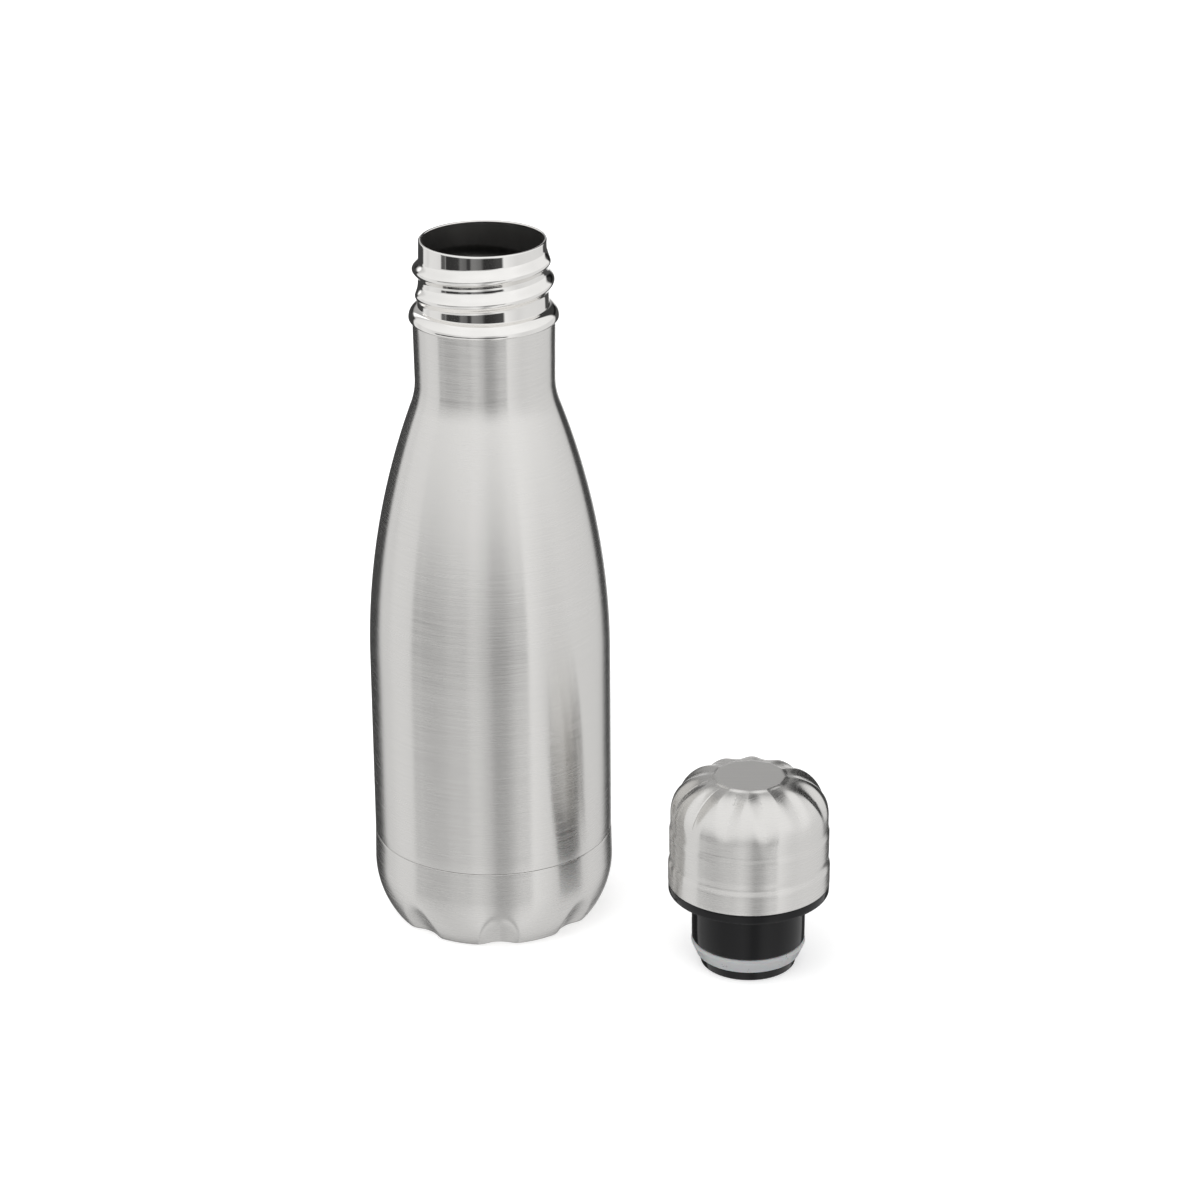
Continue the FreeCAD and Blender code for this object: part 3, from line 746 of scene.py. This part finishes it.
def solder_glass(name, tint):
    """Dark glass with small bubbles."""
    material, wires, shader = surface(name, specular_ior_level=0.6)
    place = place_on(wires)
    bubbles = wires.node("ShaderNodeTexVoronoi", {"feature": "F1"}, {"Vector": place, "Scale": 2200.0})[0]
    spots = 1.0 - wires.step(bubbles, 0.10, 0.22)
    feed(
        wires, shader,
        base_color=shades(wires, spots, tint, 0.85, 1.9),
        roughness=spots * 0.25 + 0.10,
        normal=bump(wires, spots, 0.05 * MM, 0.6))
    return material


def sintered_pill(name, tint):
    """Pressed metal powder."""
    material, wires, shader = surface(name, metallic=0.6)
    place = place_on(wires)
    grains = wires.node("ShaderNodeTexVoronoi", {"feature": "F1"}, {"Vector": place, "Scale": 5200.0})[0]
    patches = noise(wires, place, (900.0, 900.0, 900.0), 3.0)
    feed(
        wires, shader,
        base_color=shades(wires, grains * 0.6 + patches * 0.4, tint, 0.6, 1.8),
        roughness=patches * 0.2 + 0.6,
        normal=bump(wires, grains, 0.06 * MM, 0.8))
    return material


def open_foam(name, tint):
    """Foam with cells about a millimetre wide. Painted shade darkens the hollow middle of each cell."""
    material, wires, shader = surface(name, specular_ior_level=0.2)
    place = place_on(wires)
    cells = wires.node("ShaderNodeTexVoronoi", {"feature": "F1"}, {"Vector": place, "Scale": 1500.0})[0]
    # Light on the cell walls and dark in the cells' hollows. As colour this is painted shade in the hollows;
    # as bump it sinks them.
    walls = wires.step(cells, 0.15, 0.75)
    feed(
        wires, shader,
        base_color=shades(wires, walls, tint, 0.62, 1.06),
        roughness=walls * 0.15 + 0.8,
        normal=bump(wires, walls, 0.25 * MM, 0.8))
    return material


def settle(piece, node, body):
    """Let a finished piece stand for its node and move with its body."""
    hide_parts(node)
    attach(piece, body)
    return piece


def coat(piece, material):
    """Give the whole piece one material."""
    piece.data.materials.clear()
    piece.data.materials.append(material)


def shoulder(sizes, skin):
    """Corners of the bottle's shoulder, moved inwards by a skin."""
    wide = sizes.shoulder_arc - skin
    tight = sizes.neck_arc + skin
    body = sizes.body_radius - skin
    neck = sizes.neck_radius - skin
    both = wide + tight
    inset = both - (body - neck)
    rise = math.sqrt(both * both - inset * inset)
    meet = (body - wide + inset * wide / both, sizes.shoulder_start + rise * wide / both)
    return body, neck, wide, tight, meet, sizes.shoulder_start + rise


class BOTTLE_OT_outer_wall(Operator):
    """Turn the brushed outer wall with its shoulder and neck"""

    bl_idname = "bottle.outer_wall"
    bl_label = "Outer Wall"

    def execute(self, context):
        sizes = context.scene.bottle_sizes
        seam = context.scene.cup_sizes.seam_height + SEAM_GAP
        wall = sizes.wall
        spigot = sizes.body_radius - wall - SLIP_GAP
        body, neck, wide, tight, meet, foot = shoulder(sizes, 0.0)
        outside = Path()
        outside.to(spigot, sizes.shell_foot, rounding=CUT_ROUND)
        outside.to(spigot, seam - SEAT_GAP)
        outside.to(body, seam, rounding=SEAM_ROUND)
        outside.to(body, sizes.shoulder_start, steps=16)
        outside.to(*meet, bend=wide, steps=44)
        outside.to(neck, foot, bend=-tight, steps=14)
        outside.to(neck + sizes.neck_flare, sizes.shell_top, steps=6, rounding=TUCKED_ROUND)
        inner_body, inner_neck, wide, tight, meet, foot = shoulder(sizes, wall)
        inside = Path()
        inside.to(spigot - wall, sizes.shell_foot, rounding=CUT_ROUND)
        inside.to(spigot - wall, seam - wall)
        inside.to(inner_body, seam + 2 * wall)
        inside.to(inner_body, sizes.shoulder_start, steps=4)
        inside.to(*meet, bend=wide, steps=20)
        inside.to(inner_neck, foot, bend=-tight, steps=8)
        inside.to(inner_neck + sizes.neck_flare, sizes.shell_top)
        piece = turned("outer_wall", closed(outside, inside), WALL_COLUMNS)
        coat(piece, brushed_steel("brushed_wall", context.scene.bottle_finish.steel, BOTTLE_AXIS))
        settle(piece, "outer_shell", "bottle")
        return {"FINISHED"}


def cup_path(cup, body_radius, skin, top):
    """One face of the cup, from its middle under the foot to its upper edge."""
    side = body_radius - skin
    corner_side = side + cup.flare
    corner_arc = cup.corner_arc - skin
    foot_round = cup.foot_round - skin
    between = corner_arc - foot_round
    drop = cup.corner_height - cup.foot_round
    reach = math.sqrt(between * between - drop * drop)
    foot = corner_side - corner_arc + reach
    meet = (foot + reach * foot_round / between, cup.foot_round - drop * foot_round / between)
    recess_edge = cup.recess_radius + skin / 2
    path = Path(skin)
    path.to(0.0, cup.recess_depth + skin)
    path.to(recess_edge - cup.recess_depth, cup.recess_depth + skin, steps=6, rounding=RECESS_ROUND)
    path.to(recess_edge, skin, rounding=SOFT_ROUND)
    path.to(foot, skin, steps=8)
    path.to(*meet, bend=foot_round, steps=8)
    path.to(corner_side, cup.corner_height, bend=corner_arc, steps=44)
    path.to(side, top, steps=8, rounding=RIM_ROUND)
    return path


class BOTTLE_OT_base_cup(Operator):
    """Turn the base cup and press its scallops"""

    bl_idname = "bottle.base_cup"
    bl_label = "Base Cup"

    def execute(self, context):
        cup = context.scene.cup_sizes
        radius = context.scene.bottle_sizes.body_radius
        outside = cup_path(cup, radius, 0.0, cup.seam_height)
        inside = cup_path(cup, radius, context.scene.bottle_sizes.wall, cup.seam_height)
        piece = turned("base_cup_pressed", closed(outside, inside), cup.scallops * COLUMNS_A_SCALLOP)
        material = brushed_steel("brushed_cup", context.scene.bottle_finish.steel, BOTTLE_AXIS, rough=0.25)
        shaped(piece, scallop_tree(), {
            "Count": float(cup.scallops),
            "Phase": cup.phase - math.pi / 2,
            "Slope": cup.slope,
            "Foot": cup.scallop_foot,
            "Round": cup.scallop_round,
            "Softness": cup.softness,
            "Material": material,
        })
        settle(piece, "base_cup", "bottle")
        return {"FINISHED"}


class BOTTLE_OT_mouth(Operator):
    """Turn the mouth tube with its bead, roll its thread, and draw the liner below it"""

    bl_idname = "bottle.mouth"
    bl_label = "Mouth and Liner"

    def execute(self, context):
        sizes = context.scene.bottle_sizes
        finish = context.scene.bottle_finish
        thread = context.scene.thread_sizes
        outer_skin = sizes.wall + sizes.vacuum_gap
        inner_skin = outer_skin + sizes.liner_wall
        wall = sizes.tube_wall
        low = DISH_HIGH.z
        lip = wall / 2
        top = sizes.mouth_height - lip
        bead_low = sizes.bead_height - sizes.bead_under
        bead_high = sizes.bead_height + sizes.bead_half
        foot_radius = sizes.tube_foot_radius
        crest = foot_radius + sizes.bead_reach
        bend = (sizes.bead_half ** 2 + sizes.bead_reach ** 2) / (2 * sizes.bead_reach)
        groove_half = sizes.bead_half - wall
        groove_reach = sizes.bead_reach - GROOVE_SHORTER
        groove_bend = (groove_half ** 2 + groove_reach ** 2) / (2 * groove_reach)
        body, neck, wide, tight, meet, foot = shoulder(sizes, outer_skin)
        outside = Path()
        outside.to(body, low)
        outside.to(body, sizes.shoulder_start, steps=4)
        outside.to(*meet, bend=wide, steps=16)
        outside.to(neck, foot, bend=-tight, steps=6)
        outside.to(neck, sizes.throat_height)
        outside.to(sizes.seal_radius + sizes.liner_wall, sizes.seal_height)
        outside.to(sizes.rim_radius, sizes.cone_height)
        outside.to(foot_radius, bead_low)
        outside.to(crest - sizes.bead_under, bead_low)
        outside.to(crest, sizes.bead_height, bend=sizes.bead_under, steps=8)
        outside.to(foot_radius, bead_high, bend=bend, steps=16, rounding=SOFT_ROUND)
        outside.to(sizes.rim_radius, top, steps=72)
        outside.to(sizes.rim_radius - lip, sizes.mouth_height, bend=lip, steps=5)
        outside.to(sizes.rim_radius - wall, top, bend=lip, steps=5)
        body, neck, wide, tight, meet, foot = shoulder(sizes, inner_skin)
        inside = Path(wall)
        inside.to(body, low)
        inside.to(body, sizes.shoulder_start, steps=4)
        inside.to(*meet, bend=wide, steps=30)
        inside.to(neck, foot, bend=-tight, steps=10)
        inside.to(neck, sizes.throat_height, rounding=FOLD_ROUND)
        inside.to(sizes.seal_radius, sizes.seal_height, rounding=FOLD_ROUND)
        inside.to(sizes.rim_radius - wall, sizes.cone_height, rounding=FOLD_ROUND)
        inside.to(foot_radius - wall, sizes.bead_height, rounding=MOULD_ROUND)
        inside.to(foot_radius - wall + groove_reach, sizes.bead_height)
        inside.to(
            foot_radius - wall, sizes.bead_height + groove_half, bend=groove_bend, steps=10,
            rounding=FOLD_ROUND)
        inside.to(sizes.rim_radius - wall, top - BORE_TOP, steps=66)
        piece = turned("mouth_and_liner", closed(outside, inside), MOUTH_COLUMNS)
        material = polished_steel("polished_mouth", finish.steel, BOTTLE_AXIS)
        shaped(piece, thread_tree(), {
            "Axis X": 0.0,
            "Axis Y": 0.0,
            "Low": bead_high - THREAD_TUCK,
            "High": sizes.mouth_height - THREAD_MARGIN,
            "Limit": sizes.body_radius,
            "Crest": thread.crest_height,
            "Pitch": thread.pitch,
            "Reach": thread.reach,
            "Half Width": thread.half_width,
            "Start": thread.start,
            "Finish": thread.finish,
            "Run Out": thread.run_out,
            "Material": material,
        })
        lining = dull_steel("liner_inside", finish.liner)
        self.line_inside(piece, sizes, lining)
        settle(piece, "inner_liner", "bottle")
        dish = self.dish(sizes, low)
        coat(dish, lining)
        settle(dish, "liner_bottom", "bottle")
        return {"FINISHED"}

    def line_inside(self, piece, sizes, material):
        """Give the faces of the bore and of the inner wall their dull finish."""
        piece.data.materials.append(material)
        for face in piece.data.polygons:
            inwards = face.normal.x * face.center.x + face.normal.y * face.center.y < 0
            if inwards and face.center.z < sizes.mouth_height - POLISHED_LIP:
                face.material_index = 1

    def dish(self, sizes, top):
        """The drawn dish that closes the foot of the liner."""
        outer = sizes.body_radius - sizes.wall - sizes.vacuum_gap
        inner = outer - sizes.liner_wall
        corner = top - DISH_LOW.z
        flat = outer - corner
        outside = Path()
        outside.to(0.0, DISH_LOW.z)
        outside.to(flat, DISH_LOW.z, steps=4)
        outside.to(outer, top, bend=corner, steps=10)
        inside = Path()
        inside.to(0.0, DISH_LOW.z + sizes.liner_wall)
        inside.to(flat, DISH_LOW.z + sizes.liner_wall, steps=4)
        inside.to(inner, top, bend=corner - sizes.liner_wall, steps=10)
        return turned("liner_dish", closed(outside, inside), PLAIN_COLUMNS)


class BOTTLE_OT_vacuum_parts(Operator):
    """Give the parts inside the vacuum jacket and the foam in the plug their finishes"""

    bl_idname = "bottle.vacuum_parts"
    bl_label = "Vacuum Parts"

    def execute(self, context):
        finish = context.scene.bottle_finish
        steel = dull_steel("jacket_steel", finish.liner)
        finishes = {
            "reflective_foil": crinkled_foil("crinkled_foil", finish.aluminium),
            "vacuum_base_plate": steel,
            "vacuum_seal": solder_glass("solder_glass", finish.glass),
            "getter_tray": steel,
            "getter_pill": sintered_pill("sintered_pill", finish.getter),
            "stopper_foam_core": open_foam("open_foam", finish.foam),
        }
        for node, material in finishes.items():
            coat(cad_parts[node], material)
        return {"FINISHED"}


def dome_path(cap, skin, low):
    """One face of the dome, from its lower edge up to the middle of its flat top."""
    side = cap.radius - skin
    edge = side + cap.edge_flare
    roll = cap.edge_height + cap.roll_height
    arc = cap.dome_arc - skin
    top = cap.height - skin
    flat = side - arc
    path = Path(skin)
    path.to(edge, low, rounding=RIM_ROUND)
    path.to(edge, roll - cap.roll_half, steps=4, rounding=FOLD_ROUND)
    path.to(side - cap.roll_depth, roll, rounding=FOLD_ROUND)
    path.to(side, roll + cap.roll_half, rounding=FOLD_ROUND)
    path.to(side, cap.height - cap.dome_arc, steps=12)
    path.to(flat, top, bend=arc, steps=44)
    path.to(flat * FLAT_TOP_RING, top, steps=14)
    path.to(0.0, top, steps=4)
    return path


class BOTTLE_OT_cap_dome(Operator):
    """Turn the cap's steel dome and press its flutes"""

    bl_idname = "bottle.cap_dome"
    bl_label = "Cap Dome"

    def execute(self, context):
        cap = context.scene.cap_sizes
        steel = context.scene.bottle_finish.steel
        outside = dome_path(cap, 0.0, cap.edge_height)
        inside = dome_path(cap, cap.wall, cap.edge_height)
        piece = turned("cap_dome", closed(outside, inside), cap.flutes * COLUMNS_A_FLUTE, CAP_AXIS)
        side = brushed_steel("brushed_dome", steel, CAP_AXIS, rough=0.25)
        flat = brushed_steel(
            "brushed_top", steel, CAP_AXIS, grain=(40.0, 1500.0, 40.0), anisotropic=0.0, rough=0.34)
        end_arc = cap.dome_arc - cap.flute_end_depth
        half_chord = end_arc * math.sqrt(0.5)
        rise = cap.dome_arc - cap.flute_depth - half_chord
        floor_arc = (half_chord * half_chord + rise * rise) / (2 * rise)
        inwards = (floor_arc - cap.dome_arc + cap.flute_depth) * math.sqrt(0.5)
        shaped(piece, flute_tree(flat), {
            "Axis X": CAP_AXIS[0],
            "Axis Y": CAP_AXIS[1],
            "Count": float(cap.flutes),
            "Phase": cap.flute_phase - math.pi / 2,
            "Centre Radius": cap.radius - cap.dome_arc - inwards + cap.flute_shift,
            "Centre Height": cap.height - cap.dome_arc - inwards,
            "Ring": floor_arc + cap.flute_round,
            "Round": cap.flute_round,
            "Softness": cap.softness,
            "Material": side,
        })
        settle(piece, "cap_shell", "cap")
        return {"FINISHED"}


class BOTTLE_OT_cap_mouldings(Operator):
    """Turn the black mouldings of the cap: insert, plug and end cap"""

    bl_idname = "bottle.cap_mouldings"
    bl_label = "Cap Mouldings"

    def execute(self, context):
        cap = context.scene.cap_sizes
        material = black_plastic("glossy_black", context.scene.bottle_finish.plastic, CAP_AXIS)
        self.insert(cap, context.scene.thread_sizes, material)
        for piece, node in ((self.plug(cap), "stopper_body"), (self.end_cap(cap), "stopper_end_cap")):
            coat(piece, material)
            settle(piece, node, "cap")
        return {"FINISHED"}

    def insert(self, cap, thread, material):
        """Flange, threaded skirt and plate in one moulding."""
        low = INSERT_LOW.z
        plate = INSERT_HIGH.z
        ceiling = plate - cap.insert_plate
        seat = cap.edge_height - SEAT_GAP
        outside = Path()
        outside.to(cap.bore, low, rounding=MOULD_ROUND)
        outside.to(cap.flange_radius - cap.edge_round, low)
        outside.to(cap.flange_radius, low + cap.edge_round, bend=cap.edge_round, steps=6)
        outside.to(cap.flange_radius, seat, steps=2, rounding=FLANGE_ROUND)
        outside.to(cap.skirt_radius, seat)
        outside.to(cap.skirt_radius, plate, steps=2, rounding=PLATE_ROUND)
        outside.to(0.0, plate)
        outside.to(0.0, ceiling)
        outside.to(cap.bore, ceiling, rounding=MOULD_ROUND)
        outside.to(cap.bore, low + INSERT_BORE_FOOT, steps=60)
        piece = turned("cap_insert_moulding", outside.corners, INSERT_COLUMNS, CAP_AXIS)
        shaped(piece, thread_tree(), {
            "Axis X": CAP_AXIS[0],
            "Axis Y": CAP_AXIS[1],
            "Low": low + INSERT_THREAD_FOOT,
            "High": ceiling - THREAD_MARGIN,
            "Limit": (cap.bore + cap.skirt_radius) / 2,
            "Crest": low + INSERT_THREAD_CREST,
            "Pitch": thread.pitch,
            "Reach": -thread.cap_reach,
            "Half Width": thread.half_width * INSERT_THREAD_WIDTH,
            "Start": thread.start,
            "Finish": thread.finish,
            "Run Out": thread.run_out * INSERT_RUN_OUT,
            "Material": material,
        })
        settle(piece, "cap_insert", "cap")

    def plug(self, cap):
        low = PLUG_LOW.z
        top = PLUG_HIGH.z
        radius = cap.plug_radius
        inner = radius - cap.plug_wall
        bore = cap.collar_radius + SLIP_GAP
        path = Path()
        path.to(bore, low)
        path.to(radius - cap.edge_round, low)
        path.to(radius, low + cap.edge_round, bend=cap.edge_round, steps=6)
        path.to(radius, top, steps=8)
        path.to(inner, top)
        path.to(inner, low + cap.plug_wall)
        path.to(bore, low + cap.plug_wall)
        return turned("plug_moulding", path.corners, PLAIN_COLUMNS, CAP_AXIS)

    def end_cap(self, cap):
        """Disc that the cap stands on, with the collar inside the ring."""
        radius = cap.end_radius
        collar = cap.collar_radius
        path = Path()
        path.to(0.0, 0.0)
        path.to(radius - cap.edge_round, 0.0, steps=3)
        path.to(radius, cap.edge_round, bend=cap.edge_round, steps=6)
        path.to(radius + cap.end_splay, cap.end_height, rounding=LIP_ROUND)
        path.to(collar, cap.end_height)
        path.to(collar, END_HIGH.z)
        path.to(collar - cap.collar_wall, END_HIGH.z)
        path.to(collar - cap.collar_wall, cap.end_floor)
        path.to(0.0, cap.end_floor)
        return turned("end_cap_moulding", path.corners, PLAIN_COLUMNS, CAP_AXIS)


class BOTTLE_OT_seal_ring(Operator):
    """Turn the milky silicone ring of the plug"""

    bl_idname = "bottle.seal_ring"
    bl_label = "Seal Ring"

    def execute(self, context):
        cap = context.scene.cap_sizes
        inner = cap.collar_radius + SLIP_GAP
        low = RING_LOW.z
        high = RING_HIGH.z
        path = Path()
        path.to(inner, low)
        path.to(cap.ring_foot - cap.edge_round, low)
        path.to(cap.ring_foot, low + cap.edge_round, bend=cap.edge_round, steps=6)
        path.to(cap.ring_lip, high - RING_CHAMFER_HEIGHT, steps=4, rounding=LIP_ROUND)
        path.to(cap.ring_lip - RING_CHAMFER_WIDTH, high, rounding=PLATE_ROUND)
        path.to(inner, high)
        piece = turned("silicone_ring", path.corners, PLAIN_COLUMNS, CAP_AXIS)
        coat(piece, milky_silicone("milky_silicone", context.scene.bottle_finish.silicone, CAP_AXIS))
        settle(piece, "seal_ring", "seal")
        return {"FINISHED"}


# Brightness of the studio, by the compass turn from the camera in degrees, right positive. The upright
# sides of the bottle show the low walls and the flags, which are dark strips behind it at both sides.
# The dome and the beads show the high walls, and polished steel also shows the clutter behind the camera.
LOW_WALLS = (
    (-180, 0.72), (-168, 0.78), (-160, 1.00), (-122, 0.84), (-112, 0.76), (-104, 0.86), (-88, 0.84),
    (-72, 0.78), (-56, 0.72), (-36, 0.80), (-12, 0.94), (0, 0.72), (6, 0.52), (16, 0.56), (28, 0.90),
    (40, 0.96), (52, 0.86), (64, 0.78), (84, 0.82), (134, 0.78), (160, 1.00), (180, 1.05),
)
FLAGS = (
    (-180, 1.0), (-173, 1.0), (-166, 0.06), (-131, 0.06), (-127, 1.0), (136, 1.0), (140, 0.08), (162, 0.08),
    (167, 1.0), (180, 1.0),
)
CLUTTER = (
    (-180, 1.0), (-78, 1.0), (-76, 0.15), (-69, 0.15), (-67, 0.5), (-66, 0.05), (-42, 0.06), (-38, 0.22),
    (-28, 0.16), (-25, 0.05), (-21, 0.06), (-18, 0.25), (-2, 0.22), (4, 0.06), (36, 0.08), (39, 1.0),
    (180, 1.0),
)
HIGH_WALLS = (
    (-180, 0.50), (-160, 0.45), (-149, 0.40), (-146, 1.40), (-138, 1.40), (-134, 0.60), (-124, 0.90),
    (-60, 1.00), (60, 1.05), (100, 0.95), (134, 0.95), (139, 0.05), (166, 0.05), (172, 0.45), (180, 0.50),
)

# Between these degrees over the horizon one part of the studio gives way to the next.
CLUTTER_FOOT = (-22, -20)
CLUTTER_TOP = (-11, -9)
HIGH_WALLS_FOOT = (0, 8)
FLAGS_TOP = (8, 16)
CEILING_EDGE = (52, 68)
CEILING_LIGHT = 1.05


class BOTTLE_OT_studio(Operator):
    """Set up the camera, the pale floor and the soft light"""

    bl_idname = "bottle.studio"
    bl_label = "Studio"

    def execute(self, context):
        studio = context.scene.bottle_studio
        self.camera(context.scene, studio)
        self.floor(context.scene, studio)
        self.walls(context.scene)
        self.lamp(context.scene, studio)
        context.scene.view_settings.view_transform = "Standard"
        return {"FINISHED"}

    def camera(self, scene, studio):
        data = bpy.data.cameras.new("camera")
        data.lens = studio.lens
        data.sensor_width = 36.0
        data.clip_start = 0.05
        data.clip_end = 50.0
        camera = bpy.data.objects.new("camera", data)
        forward = Vector((
            math.sin(studio.yaw) * math.cos(studio.pitch),
            math.cos(studio.yaw) * math.cos(studio.pitch),
            -math.sin(studio.pitch)))
        level = Vector((math.cos(studio.yaw), -math.sin(studio.yaw), 0.0))
        upright = level.cross(forward)
        right = level * math.cos(studio.roll) + upright * math.sin(studio.roll)
        above = upright * math.cos(studio.roll) - level * math.sin(studio.roll)
        camera.matrix_world = Matrix.Translation(studio.camera_place) @ Matrix((
            right, above, -forward)).transposed().to_4x4()
        scene.collection.objects.link(camera)
        scene.camera = camera

    def floor(self, scene, studio):
        """A pale floor that keeps the shadows. What shines sees the walls in its place."""
        half = studio.floor_size / 2
        mesh = bpy.data.meshes.new("floor")
        corners = [(-half, -half, 0), (half, -half, 0), (half, half, 0), (-half, half, 0)]
        mesh.from_pydata(corners, [], [(0, 1, 2, 3)])
        floor = bpy.data.objects.new("floor", mesh)
        scene.collection.objects.link(floor)
        material = bpy.data.materials.new("paper")
        material.use_nodes = True
        wires = Wires(material.node_tree)
        paper = scene.bottle_finish.paper
        fibres = noise(wires, place_on(wires), (900.0, 900.0, 900.0), 3.0)
        tint = shades(wires, fibres, paper, 0.99, 1.01)
        diffuse = wires.node("ShaderNodeBsdfDiffuse", inputs={"Color": tint})[0]
        in_view = wires.node("ShaderNodeLightPath")[0]
        glow = wires.node("ShaderNodeEmission", inputs={"Strength": in_view * studio.floor_glow})[0]
        both = wires.node("ShaderNodeAddShader", inputs={0: diffuse, 1: glow})[0]
        wires.node("ShaderNodeOutputMaterial", inputs={0: both})
        coat(floor, material)
        floor.visible_glossy = False
        floor.visible_shadow = False

    def walls(self, scene):
        """A white room with soft panels and dark flags, which the camera itself sees as plain white."""
        world = bpy.data.worlds.new("studio")
        world.use_nodes = True
        wires = Wires(world.node_tree)
        x, y, z = wires.split(wires.node("ShaderNodeTexCoord")[0])
        turn = wires.maths("ARCTAN2", x, -y) / math.tau + 0.5

        def band(walls):
            """Brightness of a band of the studio in this direction."""
            stops = [((degrees + 180) / 360, shade) for degrees, shade in walls]
            ramp = wires.node("ShaderNodeValToRGB", {"stops": stops}, {0: turn})[0]
            return wires.split(ramp)[0]

        def above(low, high):
            """1 above these degrees over the horizon."""
            return wires.step(z, math.sin(math.radians(low)), math.sin(math.radians(high)))

        over_flags = above(*FLAGS_TOP)
        flags = over_flags + (1.0 - over_flags) * band(FLAGS)
        strip = above(*CLUTTER_FOOT) * (1.0 - above(*CLUTTER_TOP))
        clutter = 1.0 - strip * (1.0 - band(CLUTTER))
        high = above(*HIGH_WALLS_FOOT)
        side = band(LOW_WALLS) * clutter * (1.0 - high) + band(HIGH_WALLS) * high
        ceiling = above(*CEILING_EDGE)
        room = side * flags * (1.0 - ceiling) + ceiling * CEILING_LIGHT
        in_view = wires.node("ShaderNodeLightPath")[0]
        strength = in_view + (1.0 - in_view) * room
        light = wires.node(
            "ShaderNodeBackground", inputs={"Color": (1.0, 1.0, 1.0, 1.0), "Strength": strength})[0]
        wires.node("ShaderNodeOutputWorld", inputs={0: light})
        scene.world = world

    def lamp(self, scene, studio):
        data = bpy.data.lights.new("overhead", "AREA")
        data.shape = "RECTANGLE"
        data.size = 0.9
        data.size_y = 0.6
        data.energy = studio.lamp_power
        lamp = bpy.data.objects.new("overhead", data)
        lamp.location = (-0.35, -0.25, 1.1)
        lamp.rotation_euler = (Vector((0.0, 0.0, 0.1)) - lamp.location).to_track_quat("-Z", "Y").to_euler()
        lamp.visible_glossy = False
        scene.collection.objects.link(lamp)


class BOTTLE_PT_panel(Panel):
    """Sizes, colours and steps of the bottle"""

    bl_idname = "BOTTLE_PT_panel"
    bl_label = "Insulated Bottle"
    bl_space_type = "VIEW_3D"
    bl_region_type = "UI"
    bl_category = "Bottle"

    def draw(self, context):
        for step in STEPS:
            self.layout.operator(step.bl_idname)
        for name, group in GROUPS.items():
            box = self.layout.box()
            box.label(text=name.replace("_", " ").title())
            settings = getattr(context.scene, name)
            for setting in group.__annotations__:
                box.prop(settings, setting)


STEPS = (
    BOTTLE_OT_studio,
    BOTTLE_OT_outer_wall,
    BOTTLE_OT_base_cup,
    BOTTLE_OT_mouth,
    BOTTLE_OT_vacuum_parts,
    BOTTLE_OT_cap_dome,
    BOTTLE_OT_cap_mouldings,
    BOTTLE_OT_seal_ring,
)
GROUPS = {
    "bottle_sizes": BottleSizes,
    "cup_sizes": CupSizes,
    "thread_sizes": ThreadSizes,
    "cap_sizes": CapSizes,
    "bottle_finish": Finish,
    "bottle_studio": Studio,
}


def register():
    for group in (*GROUPS.values(), *STEPS, BOTTLE_PT_panel):
        bpy.utils.register_class(group)
    for name, group in GROUPS.items():
        setattr(bpy.types.Scene, name, PointerProperty(type=group))


def unregister():
    for name in GROUPS:
        delattr(bpy.types.Scene, name)
    for group in (BOTTLE_PT_panel, *reversed(STEPS), *reversed(GROUPS.values())):
        bpy.utils.unregister_class(group)


def main():
    register()
    for step in STEPS:
        family, name = step.bl_idname.split(".")
        getattr(getattr(bpy.ops, family), name)()


if __name__ == "__main__":
    main()
